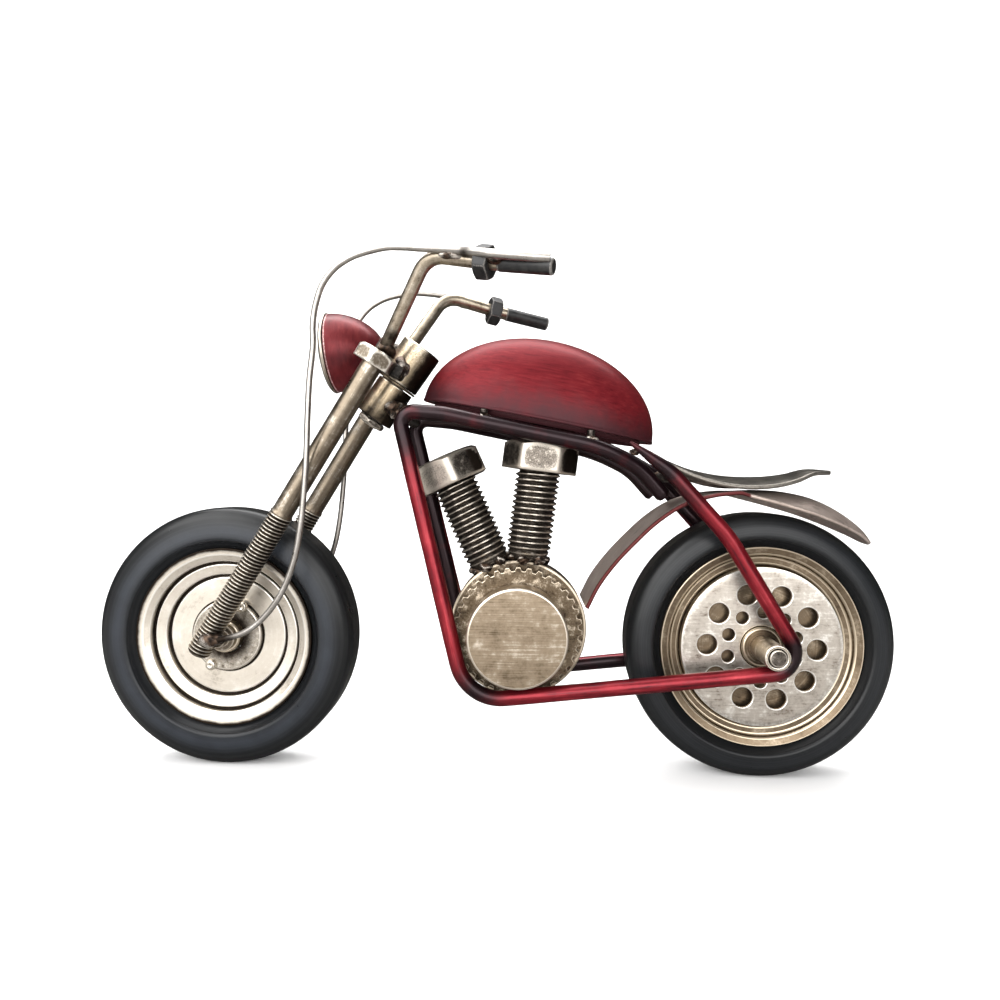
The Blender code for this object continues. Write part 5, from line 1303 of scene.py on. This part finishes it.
ENAMEL = black_enamel()
bar_bronze = worn_steel("bar bronze", (0.060, 0.045, 0.031), (0.42, 0.355, 0.270), (0.84, 0.79, 0.69),
                        (1300, 1300, 40), clouds=260.0, contrast=1.0, smooth=0.20, rough=0.44)
for side in SIDES:
    flip = np.array((1.0, side, 1.0))
    route = bent_route(BAR_CORNERS, 0.7)
    bar_end, grip_axis = route[-1].copy(), unit(GRIP_END - route[-1])
    route = np.vstack((route, bar_end + grip_axis * np.linspace(0.4, 3.0, 4)[:, None])) * flip
    points, lay = swept(route, BAR_RADIUS, 32)
    burn_and_shade = near(points, np.array([(-36, 13, 147, 6.5), (-33, 15, 151, 4)]) * (1, side, 1, 1))
    node = side_name("handlebar", side)
    fit(closed_mesh(node + "_rod", points, burn_and_shade=burn_and_shade, lay=lay), "fork", bar_bronze, node)
    nut_axis = unit(route[-5] - route[-9])
    centre = bar_end * flip - nut_axis * NUT_BACK
    hexes = hex_ring(-NUT_HALF, NUT_HALF, NUT_FLAT, BAR_RADIUS - 0.2, 0.6)
    nut = on_axis([hexes], centre, nut_axis, radians(30))
    fit(closed_mesh(side_name("grip_nut", side) + "_ring", ring=True, **nut), "fork", ENAMEL,
        side_name("grip_nut", side))
    grip_vector = (GRIP_END - bar_end) * flip
    length = np.linalg.norm(grip_vector)
    plain = [(GRIP_RADIUS, s) for s in np.linspace(2, length - 2, 9)]
    outline = [(0.01, GRIP_GAP), (GRIP_RADIUS, GRIP_GAP), *plain, (GRIP_RADIUS, length), (0.01, length)]
    grip = turned(outline, bar_end * flip, grip_vector, 40, 0.7)
    fit(closed_mesh(side_name("grip", side) + "_sleeve", **grip), "fork", ENAMEL,
        side_name("grip", side))

# ---------------------------------------------------------------- brake wires
# A bright steel wire on each side lies along the grip, springs clear round the bar and hangs down behind the
# fork, where its end is welded to the leg. Both ends are held, so it has one fixed shape.
WIRE_RADIUS = 1.02
WIRE_POINTS = [
    (19.4, 39.8, 169.3), (13.4, 39.2, 169.9), (5.9, 38.0, 170.9), (-0.3, 36.4, 172.0), (-8.1, 32.0, 174.1),
    (-15.0, 29.3, 175.6), (-21.6, 27.9, 176.4), (-28.1, 27.3, 176.9), (-33.6, 26.8, 176.9), (-42.0, 26.0, 175.1),
    (-46.9, 25.6, 172.9), (-50.6, 25.2, 170.1), (-54.0, 24.8, 165.7), (-56.2, 24.5, 159.5), (-57.2, 24.3, 153.0),
    (-57.2, 24.1, 146), (-58.4, 24, 135), (-59, 24, 122.5), (-59.4, 24, 110), (-60.2, 24, 98), (-61.4, 24, 86.5),
    (-63.6, 23.8, 75.5), (-67.6, 23.5, 65.4), (-73.6, 23, 57), (-81, 22.3, 51.2), (-91, 20.9, 47.9),
]
wire_steel = worn_steel("wire steel", (0.10, 0.09, 0.08), (0.40, 0.375, 0.345), (0.80, 0.78, 0.74),
                        (1500, 1500, 60), clouds=200.0, contrast=0.7, smooth=0.20, rough=0.40)
for side in SIDES:
    route = smooth_route(WIRE_POINTS, 1.2) * (1, side, 1)
    # Weld metal thickens the wire where it lies on the bar and the grip.
    thicker = np.clip((route[:, 0] + 26.0) / 14.0, 0, 1)[:, None]
    points, lay = swept(route, lambda s, angle: WIRE_RADIUS * (1 + 0.4 * thicker) + 0 * angle, 20)
    burn_and_shade = near(points, np.array([(-91, 20.9, 47.9, 9), (-6, 32.5, 173.4, 3)]) * (1, side, 1, 1))
    fit(closed_mesh(side_name("brake_wire", side) + "_wire", points, burn_and_shade=burn_and_shade, lay=lay), "fork",
        wire_steel, side_name("brake_wire", side))

# ---------------------------------------------------------------- welds
# Blobs and short beads of weld metal hold every joint. They are lumpy, glassy dark brown, with scale and a few
# bright drops, and sink into the pieces that they join.


def weld_metal():
    """Weld metal: burnt brown-black with rusty clouds, its humps rubbed to grey steel, very uneven."""
    material, tree, shader = new_material("weld metal")
    place = add(tree, "ShaderNodeTexCoord").outputs["Object"]
    cloud = noise(tree, place, 500.0, 4.0)
    grit = noise(tree, place, 2300.0, 3.0)
    colour = blended(tree, steep(tree, cloud, 0.38, 0.62), (0.014, 0.010, 0.008, 1), (0.085, 0.055, 0.038, 1))
    bright = maths(tree, "MULTIPLY_ADD", maths(tree, "SUBTRACT", grit, 0.5), 0.9, kept(tree, "wear_and_sheen")[1])
    colour = blended(tree, steep(tree, bright, 0.5, 1.0), colour, (0.50, 0.46, 0.41, 1))
    tree.links.new(colour, shader.inputs["Base Color"])
    tree.links.new(maths(tree, "MULTIPLY_ADD", grit, 0.4, 0.22), shader.inputs["Roughness"])
    bump = add(tree, "ShaderNodeBump", {"Height": cloud, "Distance": 0.0004, "Strength": 0.6})
    tree.links.new(bump.outputs["Normal"], shader.inputs["Normal"])
    shader.inputs["Metallic"].default_value = 0.85
    return material


WELD = weld_metal()


def weld_blob(name, body, centre, size, seed, bright=0.0):
    """A lump of weld metal: an ellipsoid with eight seeded waves in its radius, each a sine over the sphere."""
    chance = np.random.default_rng(seed)
    v = np.linspace(0.06, pi - 0.06, 26)[:, None]
    u = np.linspace(0, 2 * pi, 40, endpoint=False)[None, :]
    direction = np.stack(np.broadcast_arrays(np.sin(v) * np.cos(u), np.sin(v) * np.sin(u), np.cos(v)), -1)
    waves = chance.normal(size=(8, 3)) * 3.2
    lumps = sum(np.sin(direction @ wave + chance.uniform(0, 2 * pi)) for wave in waves) / 8
    points = np.asarray(centre, float) + direction * np.asarray(size, float) * (1 + 0.42 * lumps)[..., None]
    wear_and_sheen = np.clip(0.25 + 0.9 * lumps + bright, 0, 1)
    return fit(closed_mesh(name, points, wear_and_sheen), body, WELD)


# (name, body, x, y on the right side, z, half sizes, bright); each has a twin on the left unless y is 0.
WELDS = [
    ("weld_leg_foot", "fork", (-93.0, 20.2, 48.2), (4.6, 2.6, 2.4), 0.30),
    ("weld_axle_leg", "fork", (-95.0, 13.2, 47.0), (2.6, 1.6, 2.6), 0.1),
    ("weld_bar_foot", "fork", (-35.2, 12.6, 147.2), (3.6, 3.2, 3.6), 0.0),
    ("weld_arm_boss", "fork", (-31.5, 7.4, 142.0), (3.0, 2.2, 3.4), 0.1),
    ("weld_wire_bar", "fork", (-10.5, 29.8, 173.6), (4.2, 2.0, 1.7), 0.35),
    ("weld_wire_grip", "fork", (3.4, 34.6, 170.8), (4.2, 2.4, 1.8), -0.1),
    ("weld_head_corner", "frame", (-31.6, 10.6, 126.0), (2.6, 3.6, 2.8), 0.1),
    ("weld_head_tube", "frame", (-33.0, 6.6, 127.4), (4.0, 2.4, 2.8), 0.0),
    ("weld_rear_axle", "frame", (99.6, 17.3, 43.9), (3.6, 2.6, 3.0), 0.0),
    ("weld_stay_tail", "frame", (49.0, 17.4, 112.6), (1.8, 1.2, 1.2), 0.05),
    ("weld_lug_front", "frame", (-1.6, 16.2, 123.6), (2.2, 1.8, 1.6), 0.1),
    ("weld_lug_rear", "frame", (34.4, 15.8, 116.8), (2.4, 1.8, 1.6), 0.2),
    ("weld_seat_bar", "frame", (62.0, 11.6, 105.0), (2.4, 2.0, 1.8), -0.1),
]
for index, (name, body, centre, size, bright) in enumerate(WELDS):
    for side in SIDES:
        at = np.array(centre) * (1, side, 1)
        weld_blob(side_name(name, side), body, at, size, 10 * index + side + 1, bright)
for index, (node, (lean, _)) in enumerate(BOLTS.items()):
    foot = DRUM_CENTRE + np.array((sin(lean), 0.0, cos(lean))) * (DRUM_RADIUS + 0.4)
    for step, turn in enumerate(np.linspace(0, 2 * pi, 7, endpoint=False)):
        at = foot + 6.2 * np.array((cos(turn) * cos(lean), sin(turn), -cos(turn) * sin(lean)))
        weld_blob("weld_%s_%d" % (node, step), "frame", at, (2.2, 1.9, 1.7), 300 + 10 * index + step, 0.15)
